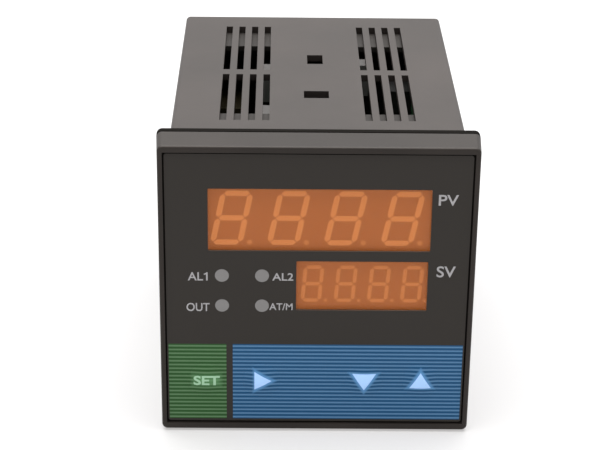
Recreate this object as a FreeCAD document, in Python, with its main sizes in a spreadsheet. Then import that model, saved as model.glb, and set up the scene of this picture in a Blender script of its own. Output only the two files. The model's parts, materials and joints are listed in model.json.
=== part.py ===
"""PID temperature controller for a square panel cut-out, built as a parametric FreeCAD document.

A moulded bezel with an embossed overlay film carries two LED displays, four indicators and four
keys.  Behind it a chassis frame with a snap-in skirt holds a vented case, which ends in two barrier
terminal blocks.  Two upright boards run in guide ribs between the display board and the terminals.

Every sub-part is drawn in front-face coordinates: x to the right, y backwards from the bezel's front
face, z up from the middle of that face.  One common placement then stands the whole part on z = 0,
with its origin at the middle of its footprint.  All lengths are in millimetres.
"""
import FreeCAD, Part
import os

import Sketcher

DIMENSIONS = {
    # front bezel, and the film let into its face
    "bezel_side": 96, "bezel_flare": 0.7, "bezel_depth": 10.6, "bezel_wall": 3.0,
    "bezel_corner": 1.8, "bezel_front_edge": 0.7, "bezel_back_edge": 0.6, "plate_thickness": 2.0,
    "rim_side": 1.5, "rim_top": 2.0, "rim_bottom": 2.2,
    "film_thickness": 0.4, "film_recess": 0.6, "film_groove": 0.55,
    "rib_below_window": 6.5, "rib_width": 1.5, "rib_reach": 5.0,
    # windows, their panes and the displays behind them; places are counted from the bezel's top
    "pane_thickness": 1.0, "pane_lap": 1.2, "pane_play": 0.1, "opening_margin": 0.6,
    "display_play": 0.15, "segment_depth": 1.0, "segment_gap": 0.18,
    "pv_width": 67.4, "pv_height": 20.35, "pv_across": 0.45, "pv_from_top": 23.87,
    "pv_digit_width": 9.95, "pv_digit_height": 17.85, "pv_slant": 3.6, "pv_stroke": 1.75,
    "pv_pitch": 17.18, "pv_first": -25.96, "pv_point_across": 5.4, "pv_point_radius": 0.85,
    "sv_width": 40.25, "sv_height": 16.55, "sv_across": 13.65, "sv_below_pv": 21.9,
    "sv_digit_width": 6.35, "sv_digit_height": 12.45, "sv_slant": 1.0, "sv_stroke": 1.2,
    "sv_pitch": 10.16, "sv_first": -1.36, "sv_point_across": 4.1, "sv_point_radius": 0.6,
    "digit_count": 4,
    # indicator lenses, two rows beside the lower window
    "lens_radius": 2.12, "lens_play": 0.06, "lens_collar": 2.8, "lens_collar_depth": 0.9,
    "lens_left": -28.95, "lens_right": -16.75, "lens_above_sv": 3.3, "lens_below_sv": 6.91,
    "led_side": 3.2, "led_depth": 1.9,
    # keys
    "key_set_from_left": 13.91, "key_shift_across": -16.82, "key_down_across": 15.18,
    "key_up_from_right": 15.24, "key_from_bottom": 17.16, "key_travel": 0.3, "body_gap": 0.3,
    "dome_radius": 5.8, "dome_rise": 0.7, "dome_wall": 0.5,
    "cap_radius": 4.8, "cap_flat": 2.0, "cap_slope": 0.5, "flange_radius": 5.6,
    "flange_depth": 0.7, "boss_radius": 2.2, "switch_side": 6.0, "switch_depth": 2.9,
    "stem_radius": 1.75, "stem_reach": 0.8, "stem_length": 2.4,
    # display board and the chassis frame that holds it
    "board_thickness": 1.6, "board_front": 8.0, "display_board_play": 2.4,
    "post_radius": 2.5, "ear_half": 3.2, "ear_depth": 3.0,
    "screw_radius": 1.3, "screw_bite": 4.6, "screw_head_radius": 2.4, "screw_head_depth": 1.7,
    "screw_head_play": 0.15, "pilot_play": 0.05, "frame_play": 0.15, "skirt_reach": 29.7,
    "skirt_wall": 1.8, "skirt_play": 0.1, "lug_level": 20.0, "lug_width": 8.0, "lug_start": 5.0,
    "lug_ramp": 3.4, "lug_height": 1.9, "lug_play": 0.3, "lug_back": 0.6, "weld": 0.5,
    # panel gasket, case, and the liner inside its rear end
    "gasket_thickness": 2.2, "gasket_play": 0.15,
    "case_inset": 2.85, "case_wall": 2.2, "case_end": 130.5, "case_corner": 1.5,
    "rear_corner": 1.4, "rear_wall": 2.5, "liner_length": 23.5,
    "vent_width": 2.2, "vent_pitch": 4.45, "vent_inset": 4.8, "vent_count": 4,
    "vent_front_start": 29.0, "vent_front_length": 41.1,
    "vent_back_start": 74.7, "vent_back_length": 43.9,
    "clamp_slot_width": 8.0, "clamp_slot_start": 48.5, "clamp_slot_length": 6.3,
    "clamp_hole_width": 5.2, "clamp_hole_start": 80.5, "clamp_hole_length": 8.7,
    "guide_rib_width": 1.2, "guide_rib_height": 3.0, "guide_rib_gap": 1.0, "guide_play": 0.15,
    # terminal blocks on the rear wall
    "terminal_pitch": 7.62, "terminal_count": 10, "block_inset": 3.0, "block_width": 12.5,
    "block_base": 2.2, "barrier_reach": 8.4, "barrier_width": 1.2, "spine_width": 1.6,
    "plug_inset": 1.5, "plug_depth": 4.4, "plug_play": 0.1,
    "screw_inset": 5.4, "terminal_head_radius": 2.7, "terminal_head_depth": 2.0,
    "terminal_shank_radius": 1.45, "terminal_shank_length": 6.0,
    "clamp_plate_side": 5.9, "clamp_plate_thickness": 0.7, "strip_thickness": 0.8,
    "strip_width": 5.0, "strip_inset": 1.4, "strip_reach": 8.0, "slot_play": 0.05,
    # upright boards and what stands on them
    "side_board_inset": 8.0, "side_board_neck": 8.0, "side_board_neck_end": 17.5,
    "side_board_end_gap": 0.3, "side_board_play": 0.3,
    "core_start": 76.0, "core_length": 30.0, "core_from_bottom": 10.8, "core_height": 26.0,
    "core_depth": 15.0, "core_limb": 5.0, "coil_lap": 3.0, "coil_play": 0.2,
    "relay_length": 19.2, "relay_width": 15.4, "relay_height": 15.6, "relay_first": 32.0,
    "relay_pitch": 21.5, "relay_gap": 2.1,
    "smoothing_radius": 9.0, "smoothing_length": 26.0, "smoothing_start": 56.0,
    "smoothing_level": -17.0,
    "suppressor_start": 98.5, "suppressor_length": 18.0, "suppressor_bottom": 8.0,
    "suppressor_height": 14.0, "suppressor_depth": 8.5,
    "header_length": 8.0, "header_half": 13.0, "header_depth": 2.6,
    "chip_side": 10.0, "chip_depth": 1.5, "chip_start": 60.0, "chip_bottom": -8.0,
    "crystal_start": 74.0, "crystal_bottom": -6.0, "crystal_length": 4.6, "crystal_height": 11.0,
    "crystal_depth": 3.5,
    "socket_start": 42.0, "socket_length": 12.0, "socket_bottom": 14.0, "socket_height": 12.0,
    "socket_depth": 14.5,
    "converter_start": 90.0, "converter_length": 20.0, "converter_bottom": 12.0,
    "converter_height": 20.0, "converter_depth": 9.0,
    "driver_length": 10.4, "driver_height": 7.6, "driver_depth": 2.4, "driver_across": 5.8,
    "driver_level": 10.0,
    # two inner boards plugged on the display board, with white sockets near their top edges
    "inner_board_across": 12.5, "inner_board_end": 103.0, "inner_board_bottom": -4.0,
    "inner_board_top_gap": 2.8, "jack_depth": 5.2, "jack_drop": 11.0, "jack_top_gap": 1.2,
    "jack_front_start": 47.1, "jack_front_length": 8.6, "jack_middle_start": 87.2,
    "jack_middle_length": 7.5, "jack_rear_start": 93.9, "jack_rear_length": 6.5,
}

doc = FreeCAD.newDocument("temperature_controller")
sheet = doc.addObject("Spreadsheet::Sheet", "dims")
for row, (alias, value) in enumerate(DIMENSIONS.items(), start=1):
    sheet.set(f"A{row}", alias)
    sheet.set(f"B{row}", str(value))
    sheet.setAlias(f"B{row}", alias)
doc.recompute()

# Levels along y that several pieces share, counted from the bezel's front face.
FILM_BACK = "(dims.film_recess + dims.film_thickness)"
PLATE_BACK = f"({FILM_BACK} + dims.plate_thickness)"
PANE_BACK = f"({FILM_BACK} + dims.pane_thickness)"
DISPLAY_FACE = f"({PANE_BACK} + dims.pane_play)"
BOARD_BACK = "(dims.board_front + dims.board_thickness)"
EAR_BACK = f"({BOARD_BACK} + dims.ear_depth)"
SKIRT_END = "(dims.bezel_depth + dims.skirt_reach)"
REAR_INSIDE = "(dims.case_end - dims.rear_wall)"
LINER_FRONT = f"({REAR_INSIDE} - dims.liner_length)"
PLUG_FACE = "(dims.case_end - dims.plug_depth)"
BLOCK_FLOOR = "(dims.case_end + dims.block_base)"
STRIP_BACK = f"({BLOCK_FLOOR} + dims.strip_thickness)"
CLAMP_BACK = f"({STRIP_BACK} + dims.clamp_plate_thickness)"
BARRIER_END = "(dims.case_end + dims.barrier_reach)"
DOME_APEX = "(dims.film_recess - dims.dome_rise)"
FLANGE_FRONT = f"({PLATE_BACK} + dims.body_gap)"
SWITCH_FRONT = "(dims.board_front - dims.switch_depth)"
STEM_FRONT = f"({SWITCH_FRONT} - dims.stem_reach)"
# Half widths that several pieces share, all counted inwards from the bezel's sides.
BEZEL_HALF = "(dims.bezel_side / 2)"
FLANGE_HALF = f"({BEZEL_HALF} + dims.bezel_flare)"
BEZEL_INSIDE = f"({BEZEL_HALF} - dims.bezel_wall)"
CASE_OUTSIDE = f"({BEZEL_HALF} - dims.case_inset)"
CASE_INSIDE = f"({CASE_OUTSIDE} - dims.case_wall)"
SKIRT_OUTSIDE = f"({CASE_INSIDE} - dims.skirt_play)"
SKIRT_INSIDE = f"({SKIRT_OUTSIDE} - dims.skirt_wall)"
POST = f"({SKIRT_INSIDE} - dims.screw_head_radius - dims.screw_head_play)"
BLOCK_OUTER = f"({CASE_OUTSIDE} - dims.block_inset)"
BLOCK_INNER = f"({BLOCK_OUTER} - dims.block_width)"
BLOCK_HALF = "((dims.terminal_count * dims.terminal_pitch + dims.barrier_width) / 2)"
SCREW_ACROSS = f"({BLOCK_OUTER} - dims.screw_inset)"
BOARD_ACROSS = f"({BLOCK_OUTER} - dims.side_board_inset)"
BOARD_FACE = f"({BOARD_ACROSS} - dims.board_thickness / 2)"
INNER_FACE = "(dims.inner_board_across + dims.board_thickness / 2)"
RIB_LOW = f"({CASE_INSIDE} - dims.guide_rib_height)"
VENT_FIRST = f"({BOARD_ACROSS} - dims.vent_inset - (dims.vent_count - 1) * dims.vent_pitch)"
# Heights of the features of the face.
PV_LEVEL = f"({BEZEL_HALF} - dims.pv_from_top)"
SV_LEVEL = f"({PV_LEVEL} - dims.sv_below_pv)"
LEVELS = {"pv": PV_LEVEL, "sv": SV_LEVEL}
RIB_LEVEL = f"({SV_LEVEL} - dims.sv_height / 2 - dims.rib_below_window)"
KEY_LEVEL = f"(dims.key_from_bottom - {BEZEL_HALF})"
KEYS = {"set": f"(dims.key_set_from_left - {BEZEL_HALF})", "shift": "dims.key_shift_across",
        "down": "dims.key_down_across", "up": f"({BEZEL_HALF} - dims.key_up_from_right)"}
LENS_UPPER = f"({SV_LEVEL} + dims.lens_above_sv)"
LENS_LOWER = f"({SV_LEVEL} - dims.lens_below_sv)"
LENSES = {"upper_left": ("dims.lens_left", LENS_UPPER), "upper_right": ("dims.lens_right", LENS_UPPER),
          "lower_left": ("dims.lens_left", LENS_LOWER), "lower_right": ("dims.lens_right", LENS_LOWER)}
CORNERS = [(across, up) for across in ("", "-") for up in ("", "-")]

sub_parts = []


def new_body(label):
    """Start a sub-part, placed so that the part stands on z = 0 about the middle of its depth."""
    body = doc.addObject("PartDesign::Body", label)
    body.Label = label
    body.setExpression("Placement.Base.y", f"-({BARRIER_END} + {DOME_APEX}) / 2")
    body.setExpression("Placement.Base.z", FLANGE_HALF)
    sub_parts.append(body)
    return body


def origin_plane(body, role):
    return next(item for item in body.Origin.OriginFeatures if item.Role == role)


def sketch_on(body, name, role, offset):
    """A sketch on one of the body's own planes, moved along the plane's normal by an expression."""
    sketch = body.newObject("Sketcher::SketchObject", name)
    sketch.AttachmentSupport = [(origin_plane(body, role), "")]
    sketch.MapMode = "FlatFace"
    sketch.setExpression("AttachmentOffset.Base.z", offset)
    return sketch


def face_sketch(body, name, depth):
    """A sketch seen from the front, at a depth behind the front face: across is x, up is z."""
    return sketch_on(body, name, "XZ_Plane", f"-({depth})")


def plan_sketch(body, name, level):
    """A sketch seen from above, at a level: across is x, up is y."""
    return sketch_on(body, name, "XY_Plane", level)


def side_sketch(body, name, across):
    """A sketch seen from the right, at a distance across: across is y, up is z."""
    return sketch_on(body, name, "YZ_Plane", across)


def value_of(sketch, expression):
    return float(sketch.evalExpression(expression))


def pin(sketch, geometry, point, across, up):
    """Hold one point of a sketch at two expressions."""
    for kind, expression in (("DistanceX", across), ("DistanceY", up)):
        distance = value_of(sketch, expression)
        index = sketch.addConstraint(Sketcher.Constraint(kind, -1, 1, geometry, point, distance))
        sketch.setExpression(f"Constraints[{index}]", expression)


def polygon(sketch, corners):
    """A closed outline of straight lines through corners given as pairs of expressions."""
    points = [FreeCAD.Vector(value_of(sketch, a), value_of(sketch, b), 0) for a, b in corners]
    first = sketch.GeometryCount
    count = len(points)
    sketch.addGeometry([Part.LineSegment(points[i], points[(i + 1) % count]) for i in range(count)])
    for i, (across, up) in enumerate(corners):
        following = first + (i + 1) % count
        sketch.addConstraint(Sketcher.Constraint("Coincident", first + i, 2, following, 1))
        pin(sketch, first + i, 1, across, up)


def rectangle(sketch, left, right, bottom, top):
    polygon(sketch, [(left, bottom), (right, bottom), (right, top), (left, top)])


def square(sketch, half):
    rectangle(sketch, f"-{half}", half, f"-{half}", half)


def circle(sketch, across, up, radius):
    centre = FreeCAD.Vector(value_of(sketch, across), value_of(sketch, up), 0)
    size = value_of(sketch, radius)
    index = sketch.addGeometry(Part.Circle(centre, FreeCAD.Vector(0, 0, 1), size))
    pin(sketch, index, 3, across, up)
    constraint = sketch.addConstraint(Sketcher.Constraint("Radius", index, size))
    sketch.setExpression(f"Constraints[{constraint}]", radius)


def cap_outline(sketch, across, base, radius, rise):
    """Half of a spherical cap seen from above: an axis line, a base line and an arc to the apex."""
    x, y, r, h = [value_of(sketch, item) for item in (across, base, radius, rise)]
    ball = (r * r + h * h) / (2 * h)
    half_way = y - h + ball - (ball ** 2 - r ** 2 / 4) ** 0.5
    apex, centre, rim = [FreeCAD.Vector(a, b, 0) for a, b in ((x, y - h), (x, y), (x + r, y))]
    arc = Part.Arc(rim, FreeCAD.Vector(x + r / 2, half_way, 0), apex)
    sketch.addGeometry([Part.LineSegment(apex, centre), Part.LineSegment(centre, rim), arc])
    pin(sketch, 0, 1, across, f"{base} - {rise}")
    pin(sketch, 0, 2, across, base)
    pin(sketch, 1, 2, f"{across} + {radius}", base)
    sketch.addConstraint(Sketcher.Constraint("Coincident", 0, 2, 1, 1))
    ends = ((1, 2), (0, 1)) if arc_starts_at_rim(sketch, 2, x + r) else ((0, 1), (1, 2))
    for end, (line, point) in enumerate(ends, start=1):
        sketch.addConstraint(Sketcher.Constraint("Coincident", line, point, 2, end))
    index = sketch.addConstraint(Sketcher.Constraint("DistanceX", -1, 1, 2, 3, x))
    sketch.setExpression(f"Constraints[{index}]", across)


def arc_starts_at_rim(sketch, index, rim):
    return abs(sketch.getPoint(index, 1).x - rim) < 1e-6


def pad(body, name, sketch, length):
    """Fill the sketch backwards, away from the front face."""
    feature = body.newObject("PartDesign::Pad", name)
    feature.Profile = sketch
    feature.setExpression("Length", length)
    feature.Reversed = True
    return feature


def centred_pad(body, name, sketch, length):
    feature = body.newObject("PartDesign::Pad", name)
    feature.Profile = sketch
    feature.setExpression("Length", length)
    feature.Midplane = True
    return feature


def pocket(body, name, sketch, length):
    """Cut the sketch backwards, away from the front face."""
    feature = body.newObject("PartDesign::Pocket", name)
    feature.Profile = sketch
    feature.setExpression("Length", length)
    return feature


def cut_through(body, name, sketch):
    """Cut the sketch through everything, to both sides of its plane."""
    feature = body.newObject("PartDesign::Pocket", name)
    feature.Profile = sketch
    feature.Type = "ThroughAll"
    feature.Midplane = True
    return feature


def turn(body, kind, name, sketch, axis):
    """Revolve or groove the sketch all the way round one of its own lines."""
    feature = body.newObject(f"PartDesign::{kind}", name)
    feature.Profile = sketch
    feature.ReferenceAxis = (sketch, [axis])
    feature.Angle = 360
    return feature


def round_edges(body, name, base, radius, wanted):
    """Fillet the edges of a feature whose middle point passes the test."""
    doc.recompute()
    shape = base.Shape
    names = []
    for number, edge in enumerate(shape.Edges, start=1):
        middle = edge.valueAt((edge.FirstParameter + edge.LastParameter) / 2)
        if wanted(middle, edge):
            names.append(f"Edge{number}")
    feature = body.newObject("PartDesign::Fillet", name)
    feature.Base = (base, names)
    feature.setExpression("Radius", radius)
    return feature


def runs_along(edge, axis):
    """True for a straight edge along one axis."""
    if edge.Curve.TypeId != "Part::GeomLine":
        return False
    return abs(getattr(edge.Curve.Direction, axis)) > 0.999


def row_of(body, name, sketch, axis, pitch, count):
    """The distance pattern of a feature, as one step of a multi-transform."""
    pattern = body.newObject("PartDesign::LinearPattern", name)
    pattern.Direction = (sketch, [axis])
    pattern.setExpression("Length", f"{pitch} * ({count} - 1)")
    pattern.setExpression("Occurrences", count)
    return pattern


def mirrored(body, name, role):
    mirror = body.newObject("PartDesign::Mirrored", name)
    mirror.MirrorPlane = (origin_plane(body, role), [""])
    return mirror


def repeat(body, name, originals, make_steps):
    """Repeat features by rows and mirrors, and make the result the body's tip."""
    doc.recompute()
    multi = body.newObject("PartDesign::MultiTransform", name)
    multi.Originals = originals
    multi.Transformations = make_steps()
    body.Tip = multi
    return multi


def block(body, name, left, right, front, back, bottom, top):
    """A rectangular block between six expressions."""
    outline = face_sketch(body, f"{name}_outline", front)
    rectangle(outline, left, right, bottom, top)
    return pad(body, name, outline, f"{back} - ({front})")


def front_bezel():
    """The moulded frame: rim, film pocket, plate with its openings, hollow back, posts and rib."""
    body = new_body("front_bezel")
    side = side_sketch(body, "bezel_side_outline", "0")
    polygon(side, [("0", f"-{BEZEL_HALF}"), ("dims.bezel_depth", f"-{FLANGE_HALF}"),
                   ("dims.bezel_depth", FLANGE_HALF), ("0", BEZEL_HALF)])
    centred_pad(body, "bezel_block", side, f"{FLANGE_HALF} * 2")
    draft = plan_sketch(body, "draft_outlines", "0")
    for sign in ("", "-"):
        polygon(draft, [(f"{sign}{BEZEL_HALF}", "0"), (f"{sign}{FLANGE_HALF}", "0"),
                        (f"{sign}{FLANGE_HALF}", "dims.bezel_depth")])
    shell = cut_through(body, "draft", draft)
    depth = value_of(sheet, "dims.bezel_depth")
    corners = round_edges(body, "bezel_corners", shell, "dims.bezel_corner",
                          lambda middle, edge: abs(middle.y - depth / 2) < depth / 4)
    front = round_edges(body, "bezel_front_rounding", corners, "dims.bezel_front_edge",
                        lambda middle, edge: abs(middle.y) < 1e-6)
    round_edges(body, "bezel_back_rounding", front, "dims.bezel_back_edge",
                lambda middle, edge: abs(middle.y - depth) < 1e-6)
    film = face_sketch(body, "film_pocket_outline", "0")
    film_outline(film, "0")
    pocket(body, "film_pocket", film, FILM_BACK)
    hollow = face_sketch(body, "hollow_outline", PLATE_BACK)
    square(hollow, BEZEL_INSIDE)
    pocket(body, "hollow", hollow, "dims.bezel_depth")
    for name in LEVELS:
        rebate = face_sketch(body, f"{name}_rebate_outline", FILM_BACK)
        window(rebate, name, "(dims.pane_lap + dims.pane_play)")
        pocket(body, f"{name}_rebate", rebate, "dims.pane_thickness")
        opening = face_sketch(body, f"{name}_opening_outline", FILM_BACK)
        window(opening, name, "dims.opening_margin")
        pocket(body, f"{name}_opening", opening, "dims.plate_thickness")
    bores = face_sketch(body, "bore_outlines", FILM_BACK)
    for across in KEYS.values():
        circle(bores, across, KEY_LEVEL, "dims.cap_radius + dims.body_gap")
    for across, level in LENSES.values():
        circle(bores, across, level, "dims.lens_radius + dims.lens_play")
    pocket(body, "bores", bores, "dims.plate_thickness")
    posts = face_sketch(body, "post_outlines", PLATE_BACK)
    pilots = face_sketch(body, "pilot_outlines", "dims.board_front - dims.screw_bite")
    for sx, sz in CORNERS:
        circle(posts, f"{sx}{POST}", f"{sz}{POST}", "dims.post_radius")
        circle(pilots, f"{sx}{POST}", f"{sz}{POST}", "dims.screw_radius + dims.pilot_play")
    pad(body, "posts", posts, f"dims.board_front - {PLATE_BACK}")
    pocket(body, "pilots", pilots, "dims.screw_bite")
    rib = face_sketch(body, "rib_outline", PLATE_BACK)
    rectangle(rib, f"-{BEZEL_INSIDE}", BEZEL_INSIDE, f"{RIB_LEVEL} - dims.rib_width / 2",
              f"{RIB_LEVEL} + dims.rib_width / 2")
    pad(body, "rib", rib, "dims.rib_reach")


def film_outline(sketch, play):
    """The outline of the film's pocket, shrunk by a play all round."""
    side = f"({BEZEL_HALF} - dims.rim_side - {play})"
    rectangle(sketch, f"-{side}", side, f"{play} + dims.rim_bottom - {BEZEL_HALF}",
              f"{BEZEL_HALF} - dims.rim_top - {play}")


def window(sketch, name, margin):
    """The outline of one display window, grown by a margin."""
    half_width = f"(dims.{name}_width / 2 + {margin})"
    half_height = f"(dims.{name}_height / 2 + {margin})"
    rectangle(sketch, f"dims.{name}_across - {half_width}", f"dims.{name}_across + {half_width}",
              f"{LEVELS[name]} - {half_height}", f"{LEVELS[name]} + {half_height}")


def overlay_film():
    """The printed film: a thin sheet with windows, lens holes and an embossed dome at each key."""
    body = new_body("overlay_film")
    outline = face_sketch(body, "film_outline", "dims.film_recess")
    film_outline(outline, "dims.film_groove")
    pad(body, "film_sheet", outline, "dims.film_thickness")
    holes = face_sketch(body, "film_holes_outline", "dims.film_recess")
    for name in LEVELS:
        window(holes, name, "0")
    for across, level in LENSES.values():
        circle(holes, across, level, "dims.lens_radius + dims.lens_play")
    pocket(body, "film_holes", holes, "dims.film_thickness")
    for key, across in KEYS.items():
        outside = plan_sketch(body, f"{key}_dome_outline", KEY_LEVEL)
        cap_outline(outside, across, "dims.film_recess", "dims.dome_radius", "dims.dome_rise")
        turn(body, "Revolution", f"{key}_dome", outside, "Edge1")
        inside = plan_sketch(body, f"{key}_hollow_outline", KEY_LEVEL)
        cap_outline(inside, across, FILM_BACK, "(dims.dome_radius - dims.dome_wall)",
                    "dims.dome_rise")
        turn(body, "Groove", f"{key}_hollow", inside, "Edge1")


def pane(name):
    """A tinted window pane, seated in its rebate behind the film."""
    body = new_body(f"{name}_pane")
    outline = face_sketch(body, "pane_outline", FILM_BACK)
    window(outline, name, "dims.pane_lap")
    pad(body, "pane", outline, "dims.pane_thickness")


def slanted(name, across, up):
    """A point of a digit, leaned over by the digit's slant."""
    lean = f"({up}) * dims.{name}_slant / dims.{name}_digit_height"
    return (f"dims.{name}_first + ({across}) + {lean}", f"{LEVELS[name]} + ({up})")


def digit_outlines(sketch, name):
    """Seven strokes with pointed ends, and a decimal point.

    A stroke's outline goes round through pairs of steps: along it from its end, and across it.
    """
    half = f"(dims.{name}_stroke / 2)"
    side = f"(dims.{name}_digit_width / 2 - {half})"
    top = f"(dims.{name}_digit_height / 2 - {half})"
    long_half = f"({side} - dims.segment_gap)"
    tall_half = f"({top} / 2 - dims.segment_gap)"
    outline = [(-1, 0, 0), (-1, 1, 1), (1, -1, 1), (1, 0, 0), (1, -1, -1), (-1, 1, -1)]
    for level in ("0", top, f"-{top}"):
        polygon(sketch, [slanted(name, f"{end} * {long_half} + {back} * {half}",
                                 f"{level} + {out} * {half}") for end, back, out in outline])
    for across in (side, f"-{side}"):
        for level in (f"{top} / 2", f"-{top} / 2"):
            polygon(sketch, [slanted(name, f"{across} + {out} * {half}",
                                     f"{level} + {end} * {tall_half} + {back} * {half}")
                             for end, back, out in outline])
    circle(sketch, f"dims.{name}_first + dims.{name}_point_across", f"{LEVELS[name]} - {top}",
           f"dims.{name}_point_radius")


def display(name):
    """A four-digit LED module with its strokes let into the face."""
    body = new_body(f"{name}_display")
    outline = face_sketch(body, "module_outline", DISPLAY_FACE)
    window(outline, name, "(dims.opening_margin - dims.display_play)")
    pad(body, "module", outline, f"dims.board_front - {DISPLAY_FACE}")
    strokes = face_sketch(body, "stroke_outlines", DISPLAY_FACE)
    digit_outlines(strokes, name)
    cut = pocket(body, "stroke_pockets", strokes, "dims.segment_depth")
    repeat(body, "all_digits", [cut],
           lambda: [row_of(body, "digit_row", strokes, "H_Axis", f"dims.{name}_pitch",
                           "dims.digit_count")])
    body = new_body(f"{name}_segments")
    strokes = face_sketch(body, "stroke_outlines", DISPLAY_FACE)
    digit_outlines(strokes, name)
    fill = pad(body, "strokes", strokes, "dims.segment_depth")
    repeat(body, "all_digits", [fill],
           lambda: [row_of(body, "digit_row", strokes, "H_Axis", f"dims.{name}_pitch",
                           "dims.digit_count")])


def indicators():
    """Four light-guide lenses, flush with the film, and the LED packages behind them."""
    for place, (across, level) in LENSES.items():
        body = new_body(f"indicator_lens_{place}")
        barrel = face_sketch(body, "barrel_outline", "dims.film_recess")
        circle(barrel, across, level, "dims.lens_radius")
        pad(body, "barrel", barrel, f"dims.board_front - dims.led_depth - dims.film_recess")
        collar = face_sketch(body, "collar_outline", PLATE_BACK)
        circle(collar, across, level, "dims.lens_collar")
        pad(body, "collar", collar, "dims.lens_collar_depth")
    body = new_body("indicator_leds")
    chips = face_sketch(body, "led_outlines", "dims.board_front - dims.led_depth")
    for across, level in LENSES.values():
        rectangle(chips, f"{across} - dims.led_side / 2", f"{across} + dims.led_side / 2",
                  f"{level} - dims.led_side / 2", f"{level} + dims.led_side / 2")
    pad(body, "leds", chips, "dims.led_depth")


def keys():
    """A plunger and a switch stem on each key's own moving body, over four tact switches."""
    cap_front = f"({DOME_APEX} + dims.film_thickness + dims.body_gap)"
    for key, across in KEYS.items():
        body = new_body(f"{key}_key_plunger")
        profile = plan_sketch(body, "plunger_profile", KEY_LEVEL)
        polygon(profile, [(across, cap_front),
                          (across, STEM_FRONT),
                          (f"{across} + dims.boss_radius", STEM_FRONT),
                          (f"{across} + dims.boss_radius", f"{FLANGE_FRONT} + dims.flange_depth"),
                          (f"{across} + dims.flange_radius", f"{FLANGE_FRONT} + dims.flange_depth"),
                          (f"{across} + dims.flange_radius", FLANGE_FRONT),
                          (f"{across} + dims.cap_radius", FLANGE_FRONT),
                          (f"{across} + dims.cap_radius", f"{cap_front} + dims.cap_slope"),
                          (f"{across} + dims.cap_flat", cap_front)])
        turn(body, "Revolution", "plunger", profile, "Edge1")
        body = new_body(f"{key}_switch_stem")
        profile = face_sketch(body, "stem_outline", STEM_FRONT)
        circle(profile, across, KEY_LEVEL, "dims.stem_radius")
        pad(body, "stem", profile, "dims.stem_length")
    body = new_body("key_switches")
    cases = face_sketch(body, "switch_outlines", SWITCH_FRONT)
    wells = face_sketch(body, "well_outlines", SWITCH_FRONT)
    for across in KEYS.values():
        rectangle(cases, f"{across} - dims.switch_side / 2", f"{across} + dims.switch_side / 2",
                  f"{KEY_LEVEL} - dims.switch_side / 2", f"{KEY_LEVEL} + dims.switch_side / 2")
        circle(wells, across, KEY_LEVEL, "dims.stem_radius + dims.body_gap")
    pad(body, "switch_cases", cases, "dims.switch_depth")
    pocket(body, "wells", wells,
           "dims.stem_length - dims.stem_reach + dims.key_travel + dims.body_gap")


def display_board():
    """The board behind the plate, with its four fixing holes, and the driver chips on its back."""
    body = new_body("display_board")
    outline = face_sketch(body, "board_outline", "dims.board_front")
    square(outline, f"({BEZEL_INSIDE} - dims.display_board_play)")
    pad(body, "board", outline, "dims.board_thickness")
    holes = face_sketch(body, "fixing_holes_outline", "dims.board_front")
    for sx, sz in CORNERS:
        circle(holes, f"{sx}{POST}", f"{sz}{POST}", "dims.screw_radius + dims.body_gap")
    pocket(body, "fixing_holes", holes, "dims.board_thickness")
    body = new_body("driver_chips")
    chips = face_sketch(body, "driver_outlines", BOARD_BACK)
    for side in ("", "-"):
        centre = f"{side}dims.driver_across"
        rectangle(chips, f"{centre} - dims.driver_length / 2", f"{centre} + dims.driver_length / 2",
                  "dims.driver_level - dims.driver_height / 2",
                  "dims.driver_level + dims.driver_height / 2")
    pad(body, "drivers", chips, "dims.driver_depth")


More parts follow.
